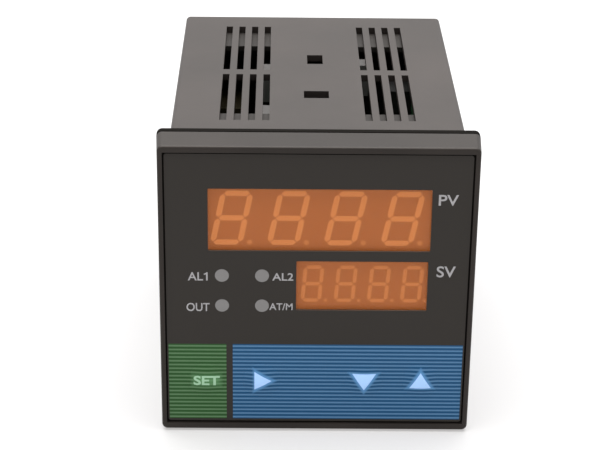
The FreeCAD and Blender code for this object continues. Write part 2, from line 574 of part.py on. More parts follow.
def chassis_frame():
    """The frame behind the display board: a ring, four screw ears and a skirt with snap lugs."""
    body = new_body("chassis_frame")
    ring = face_sketch(body, "ring_outline", BOARD_BACK)
    square(ring, f"({BEZEL_INSIDE} - dims.frame_play)")
    pad(body, "ring", ring, f"dims.bezel_depth - {BOARD_BACK}")
    skirt = face_sketch(body, "skirt_outline", "dims.bezel_depth")
    square(skirt, SKIRT_OUTSIDE)
    pad(body, "skirt", skirt, "dims.skirt_reach")
    hollow = face_sketch(body, "skirt_hollow_outline", BOARD_BACK)
    square(hollow, SKIRT_INSIDE)
    pocket(body, "skirt_hollow", hollow, f"{SKIRT_END} - {BOARD_BACK}")
    ears = face_sketch(body, "ear_outlines", BOARD_BACK)
    holes = face_sketch(body, "ear_holes_outline", BOARD_BACK)
    low, high = f"({POST} - dims.ear_half)", f"({SKIRT_INSIDE} + dims.weld)"
    for sx, sz in CORNERS:
        rectangle(ears, f"{sx}{low}", f"{sx}{high}", f"{sz}{low}", f"{sz}{high}")
        circle(holes, f"{sx}{POST}", f"{sz}{POST}", "dims.screw_radius + dims.pilot_play")
    pad(body, "ears", ears, "dims.ear_depth")
    pocket(body, "ear_holes", holes, "dims.ear_depth")
    lug = plan_sketch(body, "lug_outline", "dims.lug_level")
    start = "(dims.bezel_depth + dims.lug_start)"
    root = f"{SKIRT_OUTSIDE} - dims.weld"
    polygon(lug, [(root, start),
                  (f"{SKIRT_OUTSIDE} + dims.lug_height", start),
                  (f"{SKIRT_OUTSIDE} + dims.lug_height", f"{start} + dims.lug_back"),
                  (SKIRT_OUTSIDE, f"{start} + dims.lug_ramp"),
                  (root, f"{start} + dims.lug_ramp")])
    catch = centred_pad(body, "lug", lug, "dims.lug_width")
    repeat(body, "lugs", [catch], lambda: [mirrored(body, "lug_across", "YZ_Plane"),
                                           mirrored(body, "lug_below", "XY_Plane")])
    body = new_body("chassis_screws")
    profile = plan_sketch(body, "screw_profile", POST)
    tip = "dims.board_front - dims.screw_bite"
    crown = f"{EAR_BACK} + dims.screw_head_depth"
    head = f"{POST} + dims.screw_head_radius"
    shank = f"{POST} + dims.screw_radius"
    polygon(profile, [(POST, tip), (POST, crown), (head, crown), (head, EAR_BACK),
                      (shank, EAR_BACK), (shank, tip)])
    screw = turn(body, "Revolution", "screw", profile, "Edge1")
    repeat(body, "screws", [screw], lambda: [mirrored(body, "screw_across", "YZ_Plane"),
                                             mirrored(body, "screw_below", "XY_Plane")])


def panel_gasket():
    """The rubber ring between the bezel's back and the panel."""
    body = new_body("panel_gasket")
    outline = face_sketch(body, "gasket_outline", "dims.bezel_depth")
    square(outline, FLANGE_HALF)
    sheet_part = pad(body, "gasket_sheet", outline, "dims.gasket_thickness")
    round_edges(body, "gasket_corners", sheet_part, "dims.bezel_corner",
                lambda middle, edge: runs_along(edge, "y"))
    hole = face_sketch(body, "gasket_hole_outline", "dims.bezel_depth")
    square(hole, f"({CASE_OUTSIDE} + dims.gasket_play)")
    pocket(body, "gasket_hole", hole, "dims.gasket_thickness")


def case():
    """The moulded case: a tube with a rear wall, vents, clamp holes, guide ribs and windows."""
    body = new_body("case")
    outline = face_sketch(body, "case_outline", "dims.bezel_depth")
    square(outline, CASE_OUTSIDE)
    tube = pad(body, "case_block", outline, "dims.case_end - dims.bezel_depth")
    sides = round_edges(body, "case_long_edges", tube, "dims.case_corner",
                        lambda middle, edge: runs_along(edge, "y"))
    end = value_of(sheet, "dims.case_end")
    round_edges(body, "case_rear_edges", sides, "dims.rear_corner",
                lambda middle, edge: abs(middle.y - end) < 1e-6)
    hollow = face_sketch(body, "case_hollow_outline", "dims.bezel_depth")
    square(hollow, CASE_INSIDE)
    pocket(body, "case_hollow", hollow, f"{REAR_INSIDE} - dims.bezel_depth")
    guide_ribs(body)
    slot = plan_sketch(body, "vent_outlines", "0")
    for row in ("front", "back"):
        start = f"dims.vent_{row}_start"
        rectangle(slot, f"{VENT_FIRST} - dims.vent_width / 2", f"{VENT_FIRST} + dims.vent_width / 2",
                  start, f"{start} + dims.vent_{row}_length")
    vent = cut_through(body, "vent", slot)
    repeat(body, "vents", [vent],
           lambda: [row_of(body, "vent_row", slot, "H_Axis", "dims.vent_pitch", "dims.vent_count"),
                    mirrored(body, "vent_across", "YZ_Plane")])
    clamps = plan_sketch(body, "clamp_hole_outlines", "0")
    for kind in ("slot", "hole"):
        half = f"dims.clamp_{kind}_width / 2"
        start = f"dims.clamp_{kind}_start"
        rectangle(clamps, f"-{half}", half, start, f"{start} + dims.clamp_{kind}_length")
    cut_through(body, "clamp_holes", clamps)
    catch = side_sketch(body, "catch_outlines", "0")
    start = "(dims.bezel_depth + dims.lug_start)"
    half = "(dims.lug_width / 2 + dims.lug_play)"
    for sign in ("", "-"):
        level = f"{sign}dims.lug_level"
        rectangle(catch, f"{start} - dims.pilot_play", f"{start} + dims.lug_ramp + dims.lug_play",
                  f"{level} - {half}", f"{level} + {half}")
    cut_through(body, "catch_windows", catch)
    windows = face_sketch(body, "terminal_windows_outline", REAR_INSIDE)
    for sign in ("", "-"):
        plug_outline(windows, sign, "dims.plug_play")
    pocket(body, "terminal_windows", windows, "dims.rear_wall")


def guide_ribs(body):
    """Pairs of ribs under the top and over the bottom, which form the upright boards' grooves."""
    half_groove = "(dims.board_thickness / 2 + dims.guide_play)"
    front = f"({SKIRT_END} + dims.guide_rib_gap)"
    ribs = face_sketch(body, "guide_rib_outlines", front)
    top = f"({CASE_INSIDE} + dims.weld)"
    inner = f"({BOARD_ACROSS} - {half_groove})"
    outer = f"({BOARD_ACROSS} + {half_groove})"
    rectangle(ribs, f"{inner} - dims.guide_rib_width", inner, RIB_LOW, top)
    rectangle(ribs, outer, f"{outer} + dims.guide_rib_width", RIB_LOW, top)
    rib = pad(body, "guide_ribs", ribs, f"{LINER_FRONT} - dims.guide_rib_gap - {front}")
    repeat(body, "all_guide_ribs", [rib], lambda: [mirrored(body, "rib_across", "YZ_Plane"),
                                                   mirrored(body, "rib_below", "XY_Plane")])


def terminal_carrier():
    """A ring against the rear wall, inside the case, which lines the terminals' end."""
    body = new_body("terminal_carrier")
    outline = face_sketch(body, "carrier_outline", LINER_FRONT)
    square(outline, SKIRT_OUTSIDE)
    square(outline, SKIRT_INSIDE)
    pad(body, "carrier", outline, "dims.liner_length")


def plug_outline(sketch, sign, margin):
    """The part of a terminal block that passes through the rear wall."""
    left = f"{BLOCK_INNER} + dims.plug_inset - {margin}"
    right = f"{BLOCK_OUTER} - dims.plug_inset + {margin}"
    half = f"({BLOCK_HALF} - dims.plug_inset + {margin})"
    rectangle(sketch, f"{sign}({left})", f"{sign}({right})", f"-{half}", half)


FIRST_TERMINAL = "-(dims.terminal_count - 1) / 2 * dims.terminal_pitch"


def terminal_block(side, sign):
    """A moulded barrier strip: base, inner spine, barriers, plug, strip slots and screw bores."""
    body = new_body(f"terminal_block_{side}")
    base = face_sketch(body, "base_outline", "dims.case_end")
    rectangle(base, f"{sign}{BLOCK_INNER}", f"{sign}{BLOCK_OUTER}", f"-{BLOCK_HALF}", BLOCK_HALF)
    pad(body, "base", base, "dims.block_base")
    plug = face_sketch(body, "plug_outline", PLUG_FACE)
    plug_outline(plug, sign, "0")
    pad(body, "plug", plug, "dims.plug_depth")
    spine = face_sketch(body, "spine_outline", BLOCK_FLOOR)
    rectangle(spine, f"{sign}{BLOCK_INNER}", f"{sign}({BLOCK_INNER} + dims.spine_width)",
              f"-{BLOCK_HALF}", BLOCK_HALF)
    pad(body, "spine", spine, f"{BARRIER_END} - {BLOCK_FLOOR}")
    slots = face_sketch(body, "slot_outline", PLUG_FACE)
    half = "(dims.strip_width / 2 + dims.slot_play)"
    rectangle(slots, f"{sign}({BOARD_FACE} - dims.strip_thickness - dims.slot_play)",
              f"{sign}({BOARD_FACE} + dims.slot_play)",
              f"{FIRST_TERMINAL} - {half}", f"{FIRST_TERMINAL} + {half}")
    slot = pocket(body, "slot", slots, f"{BLOCK_FLOOR} - {PLUG_FACE}")
    bores = face_sketch(body, "bore_outline", f"{STRIP_BACK} - dims.terminal_shank_length")
    circle(bores, f"{sign}{SCREW_ACROSS}", FIRST_TERMINAL,
           "dims.terminal_shank_radius + dims.slot_play")
    bore = pocket(body, "bore", bores, "dims.terminal_shank_length")
    repeat(body, "strip_slots", [slot, bore],
           lambda: [row_of(body, "slot_row", slots, "V_Axis", "dims.terminal_pitch",
                           "dims.terminal_count")])
    barrier = face_sketch(body, "barrier_outline", BLOCK_FLOOR)
    rectangle(barrier, f"{sign}{BLOCK_INNER}", f"{sign}{BLOCK_OUTER}",
              f"-{BLOCK_HALF}", f"-{BLOCK_HALF} + dims.barrier_width")
    wall = pad(body, "barrier", barrier, f"{BARRIER_END} - {BLOCK_FLOOR}")
    repeat(body, "barriers", [wall],
           lambda: [row_of(body, "barrier_row", barrier, "V_Axis", "dims.terminal_pitch",
                           "dims.terminal_count + 1")])


def terminal_hardware():
    """Screws, square clamp plates and the contact strips that reach in to the upright boards."""
    def both_columns(body, sketch, features, axis):
        repeat(body, "all_terminals", features,
               lambda: [row_of(body, "terminal_row", sketch, axis, "dims.terminal_pitch",
                               "dims.terminal_count"), mirrored(body, "columns", "YZ_Plane")])

    bore = "dims.terminal_shank_radius + dims.slot_play"
    body = new_body("terminal_screws")
    profile = plan_sketch(body, "screw_profile", FIRST_TERMINAL)
    tip = f"{STRIP_BACK} - dims.terminal_shank_length"
    crown = f"{CLAMP_BACK} + dims.terminal_head_depth"
    shank = f"{SCREW_ACROSS} + dims.terminal_shank_radius"
    head = f"{SCREW_ACROSS} + dims.terminal_head_radius"
    polygon(profile, [(SCREW_ACROSS, tip), (SCREW_ACROSS, crown), (head, crown), (head, CLAMP_BACK),
                      (shank, CLAMP_BACK), (shank, tip)])
    both_columns(body, profile, [turn(body, "Revolution", "screw", profile, "Edge1")], "N_Axis")

    body = new_body("terminal_clamps")
    plate = face_sketch(body, "clamp_outline", STRIP_BACK)
    half = "(dims.clamp_plate_side / 2)"
    rectangle(plate, f"{SCREW_ACROSS} - {half}", f"{SCREW_ACROSS} + {half}",
              f"{FIRST_TERMINAL} - {half}", f"{FIRST_TERMINAL} + {half}")
    circle(plate, SCREW_ACROSS, FIRST_TERMINAL, bore)
    both_columns(body, plate, [pad(body, "clamp", plate, "dims.clamp_plate_thickness")], "V_Axis")

    body = new_body("terminal_strips")
    bend = plan_sketch(body, "strip_profile", FIRST_TERMINAL)
    inner = f"({BOARD_FACE} - dims.strip_thickness)"
    outer = f"({BLOCK_OUTER} - dims.strip_inset)"
    reach = f"{PLUG_FACE} - dims.strip_reach"
    polygon(bend, [(inner, reach), (inner, STRIP_BACK), (outer, STRIP_BACK), (outer, BLOCK_FLOOR),
                   (BOARD_FACE, BLOCK_FLOOR), (BOARD_FACE, reach)])
    strip = centred_pad(body, "strip", bend, "dims.strip_width")
    hole = face_sketch(body, "strip_hole_outline", BLOCK_FLOOR)
    circle(hole, SCREW_ACROSS, FIRST_TERMINAL, bore)
    bored = pocket(body, "strip_hole", hole, "dims.strip_thickness")
    both_columns(body, hole, [strip, bored], "V_Axis")


def side_board(name, sign):
    """An upright board: a neck behind the display board, then full height in the guide ribs.

    It is lower inside the frame's skirt and inside the liner at the terminals.
    """
    body = new_body(name)
    outline = side_sketch(body, "board_outline", f"{sign}{BOARD_ACROSS}")
    neck = f"({SKIRT_INSIDE} - dims.side_board_neck)"
    low = f"({SKIRT_INSIDE} - dims.side_board_play)"
    tall = f"({CASE_INSIDE} - dims.side_board_play)"
    neck_end = "dims.side_board_neck_end"
    front = f"({SKIRT_END} + dims.guide_rib_gap)"
    back = f"({LINER_FRONT} - dims.guide_rib_gap)"
    end = f"({PLUG_FACE} - dims.side_board_end_gap)"
    upper = [(BOARD_BACK, neck), (neck_end, neck), (neck_end, low), (front, low), (front, tall),
             (back, tall), (back, low), (end, low)]
    lower = [(along, f"-{level}") for along, level in reversed(upper)]
    polygon(outline, upper + lower)
    centred_pad(body, "board", outline, "dims.board_thickness")


def on_board(name, sign, depth, start, length, bottom, height):
    """A block-shaped component standing on an upright board's inner face."""
    body = new_body(name)
    return body, block(body, name, f"{sign}{BOARD_FACE}", f"{sign}({BOARD_FACE} - {depth})",
                       start, f"({start} + {length})", bottom, f"{bottom} + {height}")


def power_parts():
    """Transformer, smoothing and suppressor capacitors and three relays on the left board."""
    core_bottom = f"(dims.core_from_bottom - {CASE_INSIDE})"
    core, _ = on_board("transformer_core", "-", "dims.core_depth", "dims.core_start",
                       "dims.core_length", core_bottom, "dims.core_height")
    bobbin_window = side_sketch(core, "winding_window", f"-{BOARD_FACE}")
    rectangle(bobbin_window, "dims.core_start + dims.core_limb",
              "dims.core_start + dims.core_length - dims.core_limb",
              f"{core_bottom} + dims.core_limb",
              f"{core_bottom} + dims.core_height - dims.core_limb")
    cut_through(core, "winding_hole", bobbin_window)
    body = new_body("transformer_winding")
    block(body, "winding", f"-{BOARD_FACE}", f"-({BOARD_FACE} - dims.core_depth - dims.coil_lap)",
          "dims.core_start + dims.core_limb + dims.coil_play",
          "(dims.core_start + dims.core_length - dims.core_limb - dims.coil_play)",
          f"{core_bottom} + dims.core_limb + dims.coil_play",
          f"{core_bottom} + dims.core_height - dims.core_limb - dims.coil_play")
    for number, use in enumerate(("output", "alarm_one", "alarm_two")):
        on_board(f"relay_{use}", "-", "dims.relay_height",
                 f"(dims.relay_first + {number} * dims.relay_pitch)", "dims.relay_length",
                 f"{core_bottom} + dims.core_height + dims.relay_gap", "dims.relay_width")
    body = new_body("smoothing_capacitor")
    can = side_sketch(body, "can_outline", f"-{BOARD_FACE}")
    circle(can, "dims.smoothing_start", "dims.smoothing_level", "dims.smoothing_radius")
    pad(body, "can", can, "dims.smoothing_length").Reversed = False
    on_board("suppressor_capacitor", "-", "dims.suppressor_depth", "dims.suppressor_start",
             "dims.suppressor_length", "dims.suppressor_bottom", "dims.suppressor_height")


def control_parts():
    """Microcontroller, crystal, probe socket and converter module on the right board."""
    on_board("microcontroller", "", "dims.chip_depth", "dims.chip_start", "dims.chip_side",
             "dims.chip_bottom", "dims.chip_side")
    on_board("crystal", "", "dims.crystal_depth", "dims.crystal_start", "dims.crystal_length",
             "dims.crystal_bottom", "dims.crystal_height")
    on_board("option_socket", "", "dims.socket_depth", "dims.socket_start", "dims.socket_length",
             "dims.socket_bottom", "dims.socket_height")
    on_board("input_converter", "", "dims.converter_depth", "dims.converter_start",
             "dims.converter_length", "dims.converter_bottom", "dims.converter_height")
    body = new_body("board_headers")
    outline = face_sketch(body, "header_outlines", BOARD_BACK)
    for sign in ("", "-"):
        rectangle(outline, f"{sign}({BOARD_FACE} - dims.header_depth)", f"{sign}{BOARD_FACE}",
                  "-dims.header_half", "dims.header_half")
        rectangle(outline, f"{sign}({INNER_FACE} + dims.header_depth)", f"{sign}{INNER_FACE}",
                  "dims.inner_board_bottom", "dims.header_half")
    pad(body, "headers", outline, "dims.header_length")


def inner_boards():
    """Two boards plugged on the display board, and white sockets on their outer faces."""
    body = new_body("inner_boards")
    outline = side_sketch(body, "board_outline", "dims.inner_board_across")
    top = f"({SKIRT_INSIDE} - dims.inner_board_top_gap)"
    rectangle(outline, BOARD_BACK, "dims.inner_board_end", "dims.inner_board_bottom", top)
    board = centred_pad(body, "board", outline, "dims.board_thickness")
    repeat(body, "both_boards", [board], lambda: [mirrored(body, "board_across", "YZ_Plane")])
    for place, sign in (("front", "-"), ("middle", "-"), ("rear", "")):
        body = new_body(f"{place}_jack")
        start = f"dims.jack_{place}_start"
        high = f"({SKIRT_INSIDE} - dims.jack_top_gap)"
        block(body, "jack", f"{sign}{INNER_FACE}", f"{sign}({INNER_FACE} + dims.jack_depth)",
              start, f"({start} + dims.jack_{place}_length)", f"{high} - dims.jack_drop", high)


def export(bodies):
    """Check the document and every sub-part, then write one STEP file for each."""
    doc.recompute()
    for item in doc.Objects:
        faults = {"Invalid", "Error"} & set(item.State)
        if faults:
            raise RuntimeError(f"{item.Name} ({item.Label}) failed: {item.State}")
    for body in bodies:
        if body.Shape.isNull() or not body.Shape.isValid() or not body.Shape.Solids:
            raise RuntimeError(f"{body.Label} has no valid solid")
    os.makedirs("parts", exist_ok=True)
    for body in bodies:
        body.Shape.exportStep(f"parts/{body.Label}.step")
        print(f"{body.Label}: {len(body.Shape.Solids)} solids, {body.Shape.Volume:.1f} mm3")


front_bezel()
overlay_film()
for window_name in LEVELS:
    pane(window_name)
    display(window_name)
indicators()
keys()
display_board()
chassis_frame()
panel_gasket()
case()
terminal_carrier()
terminal_block("right", "")
terminal_block("left", "-")
terminal_hardware()
side_board("power_board", "-")
side_board("control_board", "")
power_parts()
control_parts()
inner_boards()
export(sub_parts)
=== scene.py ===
"""Looks of the panel temperature controller: printed film, displays, lettering, screws, finishes.

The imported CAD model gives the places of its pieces, and the print's own places are written here.
New pieces are surfaces worked out with numpy in metres: x to the right, y to the back, z up.
Finishes are procedural.
"""
import json

import bmesh
import bpy
import numpy as np
from mathutils import Matrix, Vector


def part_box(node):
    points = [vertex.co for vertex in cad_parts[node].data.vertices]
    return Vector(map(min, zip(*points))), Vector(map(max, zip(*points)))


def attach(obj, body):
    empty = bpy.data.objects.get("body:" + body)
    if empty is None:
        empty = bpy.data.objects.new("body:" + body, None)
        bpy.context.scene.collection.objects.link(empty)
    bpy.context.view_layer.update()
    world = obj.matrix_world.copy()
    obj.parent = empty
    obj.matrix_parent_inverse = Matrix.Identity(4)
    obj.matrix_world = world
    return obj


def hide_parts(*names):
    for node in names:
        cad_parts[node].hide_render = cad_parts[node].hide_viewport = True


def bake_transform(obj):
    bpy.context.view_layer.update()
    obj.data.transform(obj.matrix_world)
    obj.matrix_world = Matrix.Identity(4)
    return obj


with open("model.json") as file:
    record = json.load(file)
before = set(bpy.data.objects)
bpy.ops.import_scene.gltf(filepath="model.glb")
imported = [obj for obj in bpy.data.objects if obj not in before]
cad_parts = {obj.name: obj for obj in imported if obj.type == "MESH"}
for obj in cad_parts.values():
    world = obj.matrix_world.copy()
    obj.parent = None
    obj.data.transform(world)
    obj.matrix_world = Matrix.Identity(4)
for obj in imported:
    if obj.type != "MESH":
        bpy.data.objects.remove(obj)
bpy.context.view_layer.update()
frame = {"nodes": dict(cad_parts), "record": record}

MM = 0.001

# ---------------------------------------------------------------- places taken from the frame
FILM_LOW, FILM_HIGH = [np.array(corner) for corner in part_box("overlay_film")]
BEZEL_LOW, BEZEL_HIGH = [np.array(corner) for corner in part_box("front_bezel")]
FRONT = BEZEL_LOW[1]
MIDDLE = (BEZEL_LOW[2] + BEZEL_HIGH[2]) / 2
KEYS = ("set", "shift", "down", "up")
LENSES = ("upper_left", "upper_right", "lower_left", "lower_right")


def centre_of(node):
    """The middle of a node's box, as x and z."""
    low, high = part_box(node)
    return (low[0] + high[0]) / 2, (low[2] + high[2]) / 2


KEY_PLACES = {key: centre_of(f"{key}_key_plunger") for key in KEYS}

# ---------------------------------------------------------------- the film and its domes
FILM_THICKNESS = 0.4 * MM
FILM_BACK = FILM_HIGH[1]
FILM_FRONT = FILM_BACK - FILM_THICKNESS
FILM_CORNER = 0.8 * MM
FILM_BEVEL = 0.05 * MM
WINDOW_CORNER = 0.35 * MM
# How far the film covers each pane at its edges.
PANE_LAP = {"left": 1.3 * MM, "right": 1.25 * MM, "bottom": 1.1 * MM, "top": 1.2 * MM}
LENS_HOLE_RADIUS = 2.18 * MM
GROOVE_WIDTH = 0.55 * MM
GROOVE_CORNER = 0.9 * MM
# The dark ring in the groove round the film is painted shade.
PAINTED_SHADE_THICKNESS = 0.06 * MM
PAINTED_SHADE_BEVEL = 0.01 * MM
DOME_RADIUS = 5.8 * MM
DOME_RISE = 0.66 * MM
DOME_RINGS = 22

# ---------------------------------------------------------------- the print
# Places across and up are taken from the middle of the front face.
FIRST_STRIPE = -18.75 * MM
STRIPE_PITCH = 1.3232 * MM
STRIPE_WIDTH = 0.56 * MM
FIELD_BOTTOM, FIELD_TOP = -44.48 * MM, -18.03 * MM
FIELDS = {"green": (-45.6 * MM, -27.71 * MM), "blue": (-25.75 * MM, 45.5 * MM)}
# Each arrow's base and tip, along its way from the key's centre, and its half width.
ARROWS = {"up": (-2.3 * MM, 3.1 * MM, 3.35 * MM), "down": (-2.6 * MM, 3.05 * MM, 3.7 * MM),
          "shift": (-2.2 * MM, 3.1 * MM, 3.1 * MM)}
ARROW_SOFTNESS = 0.12 * MM
# Painted glow: each arrow's halo is a lighter soft surround that stands in for light round the
# arrow.
PAINTED_ARROW_HALO = {"behind": 0.3 * MM, "ahead": 1.5 * MM, "beside": 1.15 * MM, "softness": 0.5 * MM,
              "share": 0.88}
# Painted glow: the word SET's halo is a lighter soft surround that stands in for light round the
# word.
PAINTED_WORD_HALO = {"softness": 1.1 * MM, "share": 0.65}
# The words, then left, right, bottom and top in millimetres.
LEGENDS = {
    "legend_pv": ("PV", 35.99, 41.99, 29.26, 32.79),
    "legend_sv": ("SV", 36.31, 42.1, 5.39, 9.12),
    "legend_alarm_one": ("AL", -39.33, -34.72, 3.82, 6.6),
    "legend_alarm_one_figure": ("1", -34.46, -33.28, 3.82, 6.6),
    "legend_alarm_two": ("AL2", -13.62, -7.22, 3.95, 6.47),
    "legend_output": ("OUT", -39.85, -32.75, -6.67, -3.85),
    "legend_auto_manual": ("AT/M", -14.5, -7.36, -6.15, -3.78),
    "legend_set": ("SET", -37.98, -29.8, -32.4, -29.1),
}
PRINT_DEPTH = 0.03 * MM
PRINT_SUNK = 0.005 * MM
PRINT_LIFT = 0.45
# Shares of the letter size: how thick letters are made, how finely cut, how much bolder.
LETTER_THICKNESS = 0.04
LETTER_CELL = 0.12
BOLD_ON_FILM, BOLD_ON_KEY = 0.012, 0.028
# The decimal points of each display: the first one's x, their pitch and their width.
POINTS = {"pv": (-20.56 * MM, 17.18 * MM, 1.9 * MM), "sv": (2.74 * MM, 10.16 * MM, 1.4 * MM)}


def legend_bounds(name):
    """The left, right, bottom and top of a legend, in metres."""
    left, right, bottom, top = [edge * MM for edge in LEGENDS[name][1:]]
    return left, right, MIDDLE + bottom, MIDDLE + top


# ---------------------------------------------------------------- meshes
def shade(mesh, smooth):
    """Shade every face of a mesh smooth or flat."""
    mesh.polygons.foreach_set("use_smooth", np.full(len(mesh.polygons), smooth))
    mesh.update()


def added(name, data):
    """A new object in the scene, for a mesh, a curve, a lamp or a camera."""
    made = bpy.data.objects.new(name, data)
    bpy.context.scene.collection.objects.link(made)
    return made


def mesh_piece(name, points, faces, body, material):
    """A smooth closed piece from an array of points and an array of faces, riding on a body."""
    mesh = bpy.data.meshes.new(name)
    mesh.from_pydata(np.asarray(points).reshape(-1, 3).tolist(), [], faces.tolist())
    piece = settle(added(name, mesh), body, material)
    clean(piece)
    shade(mesh, True)
    return piece


def settle(piece, body, material):
    """Give a finished piece its finish and, where a body is given, its body."""
    piece.data.materials.append(material)
    if body is not None:
        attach(piece, body)
    return piece


def grid_faces(rows, columns):
    """Quads over a grid of rows by columns, the columns joined into a ring."""
    row = np.arange(rows - 1)[:, None]
    column = np.arange(columns)[None, :]
    following = (column + 1) % columns
    corners = [row * columns + column, row * columns + following,
               (row + 1) * columns + following, (row + 1) * columns + column]
    return np.stack(np.broadcast_arrays(*corners), axis=-1).reshape(-1, 4)


def clean(piece):
    """Merge doubled points, drop collapsed faces and turn every face outwards."""
    work = bmesh.new()
    work.from_mesh(piece.data)
    bmesh.ops.remove_doubles(work, verts=work.verts, dist=1e-7)
    bmesh.ops.dissolve_degenerate(work, edges=work.edges, dist=1e-8)
    bmesh.ops.recalc_face_normals(work, faces=work.faces)
    work.to_mesh(piece.data)
    work.free()
    piece.data.update()


def turned(profile, centre, steps=64):
    """Carry a profile of (radius, depth) pairs round an axis along y through a centre (x, z).

    A point is centre + radius times (cos, sin) of the angle, at its own depth.
    """
    angle = np.linspace(0, 2 * np.pi, steps, endpoint=False)
    radius, depth = profile[:, :1], profile[:, 1:]
    return np.stack([centre[0] + radius * np.cos(angle), depth + 0 * angle,
                     centre[1] + radius * np.sin(angle)], axis=-1)


def flat_shape(name, outlines, thickness, bevel):
    """Fill closed outlines with holes as a flat plate; its points come back with depth last."""
    curve = bpy.data.curves.new(name, "CURVE")
    curve.dimensions = "2D"
    curve.fill_mode = "BOTH"
    curve.extrude = thickness / 2 - bevel
    curve.bevel_depth = bevel
    curve.bevel_resolution = 1
    for outline in outlines:
        spline = curve.splines.new("POLY")
        spline.points.add(len(outline) - 1)
        flat = np.column_stack([outline, np.zeros(len(outline)), np.ones(len(outline))])
        spline.points.foreach_set("co", flat.ravel())
        spline.use_cyclic_u = True
    return made_mesh(name, curve)


def in_cells(mesh, pitch):
    """Cut a flat mesh along a square grid, so that it can follow a curved surface."""
    work = bmesh.new()
    work.from_mesh(mesh)
    spread = points_of(mesh)
    for axis in (0, 1):
        normal = np.eye(3)[axis]
        for level in np.arange(spread[:, axis].min() + pitch, spread[:, axis].max(), pitch):
            everything = work.verts[:] + work.edges[:] + work.faces[:]
            bmesh.ops.bisect_plane(work, geom=everything, plane_co=normal * level, plane_no=normal)
    bmesh.ops.triangulate(work, faces=work.faces)
    work.to_mesh(mesh)
    work.free()


def made_mesh(name, curve):
    """The filled mesh of a curve or text, with the curve itself removed."""
    holder = added(name, curve)
    bpy.context.view_layer.update()
    ready = holder.evaluated_get(bpy.context.evaluated_depsgraph_get())
    mesh = bpy.data.meshes.new_from_object(ready)
    bpy.data.objects.remove(holder)
    mesh.materials.clear()
    return mesh


def points_of(mesh):
    """The points of a mesh as an array, one row for each."""
    flat = np.empty(len(mesh.vertices) * 3)
    mesh.vertices.foreach_get("co", flat)
    return flat.reshape(-1, 3)


def stand_up(name, mesh, place):
    """Make an object of a flat mesh, its points sent through a function of (across, up, depth)."""
    mesh.name = name
    mesh.vertices.foreach_set("co", place(points_of(mesh)).ravel())
    piece = added(name, mesh)
    clean(piece)
    shade(piece.data, False)
    return piece


def upright_at(middle):
    """A function that stands a flat plate upright, the middle of its thickness at a depth."""
    return lambda flat: np.column_stack([flat[:, 0], flat[:, 2] + middle, flat[:, 1]])


def rounded_box(left, right, bottom, top, radius, steps=8):
    """A rectangle whose corners are quarter circles."""
    angle = np.linspace(0, np.pi / 2, steps)
    corners = [(right - radius, top - radius, 0), (left + radius, top - radius, 1),
               (left + radius, bottom + radius, 2), (right - radius, bottom + radius, 3)]
    return np.concatenate([np.column_stack([x + radius * np.cos(angle + turn * np.pi / 2),
                                            y + radius * np.sin(angle + turn * np.pi / 2)])
                           for x, y, turn in corners])


def ring(centre, radius, steps=96):
    """A circle: centre + radius times (cos, sin) of evenly spaced angles."""
    angle = np.linspace(0, 2 * np.pi, steps, endpoint=False)
    return np.column_stack([centre[0] + radius * np.cos(angle), centre[1] + radius * np.sin(angle)])


# ---------------------------------------------------------------- shader building
def shown(red, green, blue):
    """A colour given as it looks on a display, from 0 to 255, as linear light."""
    value = np.array([red, green, blue]) / 255
    linear = np.where(value <= 0.04045, value / 12.92, ((value + 0.055) / 1.055) ** 2.4)
    return (*linear.tolist(), 1.0)


def feed(tree, socket, value):
    """Link a socket to the value where that is a socket too, and set it elsewhere."""
    if isinstance(value, bpy.types.NodeSocket):
        tree.links.new(value, socket)
    else:
        socket.default_value = value


def add(tree, kind, inputs=None, **settings):
    """A shader node with its settings and its inputs."""
    made = tree.nodes.new(kind)
    for name, value in settings.items():
        setattr(made, name, value)
    for name, value in (inputs or {}).items():
        feed(tree, made.inputs[name], value)
    return made


def sums(tree, operation, *values, clamp=False):
    """The result of a math node on its values."""
    return add(tree, "ShaderNodeMath", dict(enumerate(values)), operation=operation,
               use_clamp=clamp).outputs[0]


def blended(tree, share, first, second):
    """The first colour where the share is 0, the second where it is 1."""
    made = add(tree, "ShaderNodeMix", data_type="RGBA")
    for index, value in ((0, share), (6, first), (7, second)):
        feed(tree, made.inputs[index], value)
    return made.outputs[2]


def effect(name, inputs, outputs):
    """An empty node group with named sockets; inputs maps each name to a start value."""
    group = bpy.data.node_groups.new(name, "ShaderNodeTree")
    for label, value in inputs.items():
        kind = "NodeSocketVector" if value is None else "NodeSocketFloat"
        socket = group.interface.new_socket(label, in_out="INPUT", socket_type=kind)
        if value is not None:
            socket.default_value = value
    for label in outputs:
        group.interface.new_socket(label, in_out="OUTPUT", socket_type="NodeSocketFloat")
    return group, add(group, "NodeGroupInput").outputs, add(group, "NodeGroupOutput")


def use(tree, group, inputs=None):
    """The outputs of a shared effect placed in a material."""
    return add(tree, "ShaderNodeGroup", inputs, node_tree=group).outputs


def place(tree):
    """Where a point of the piece is, in metres."""
    return add(tree, "ShaderNodeTexCoord").outputs["Object"]


def parts(tree, vector):
    """The x, y and z of a vector."""
    return add(tree, "ShaderNodeSeparateXYZ", {0: vector}).outputs


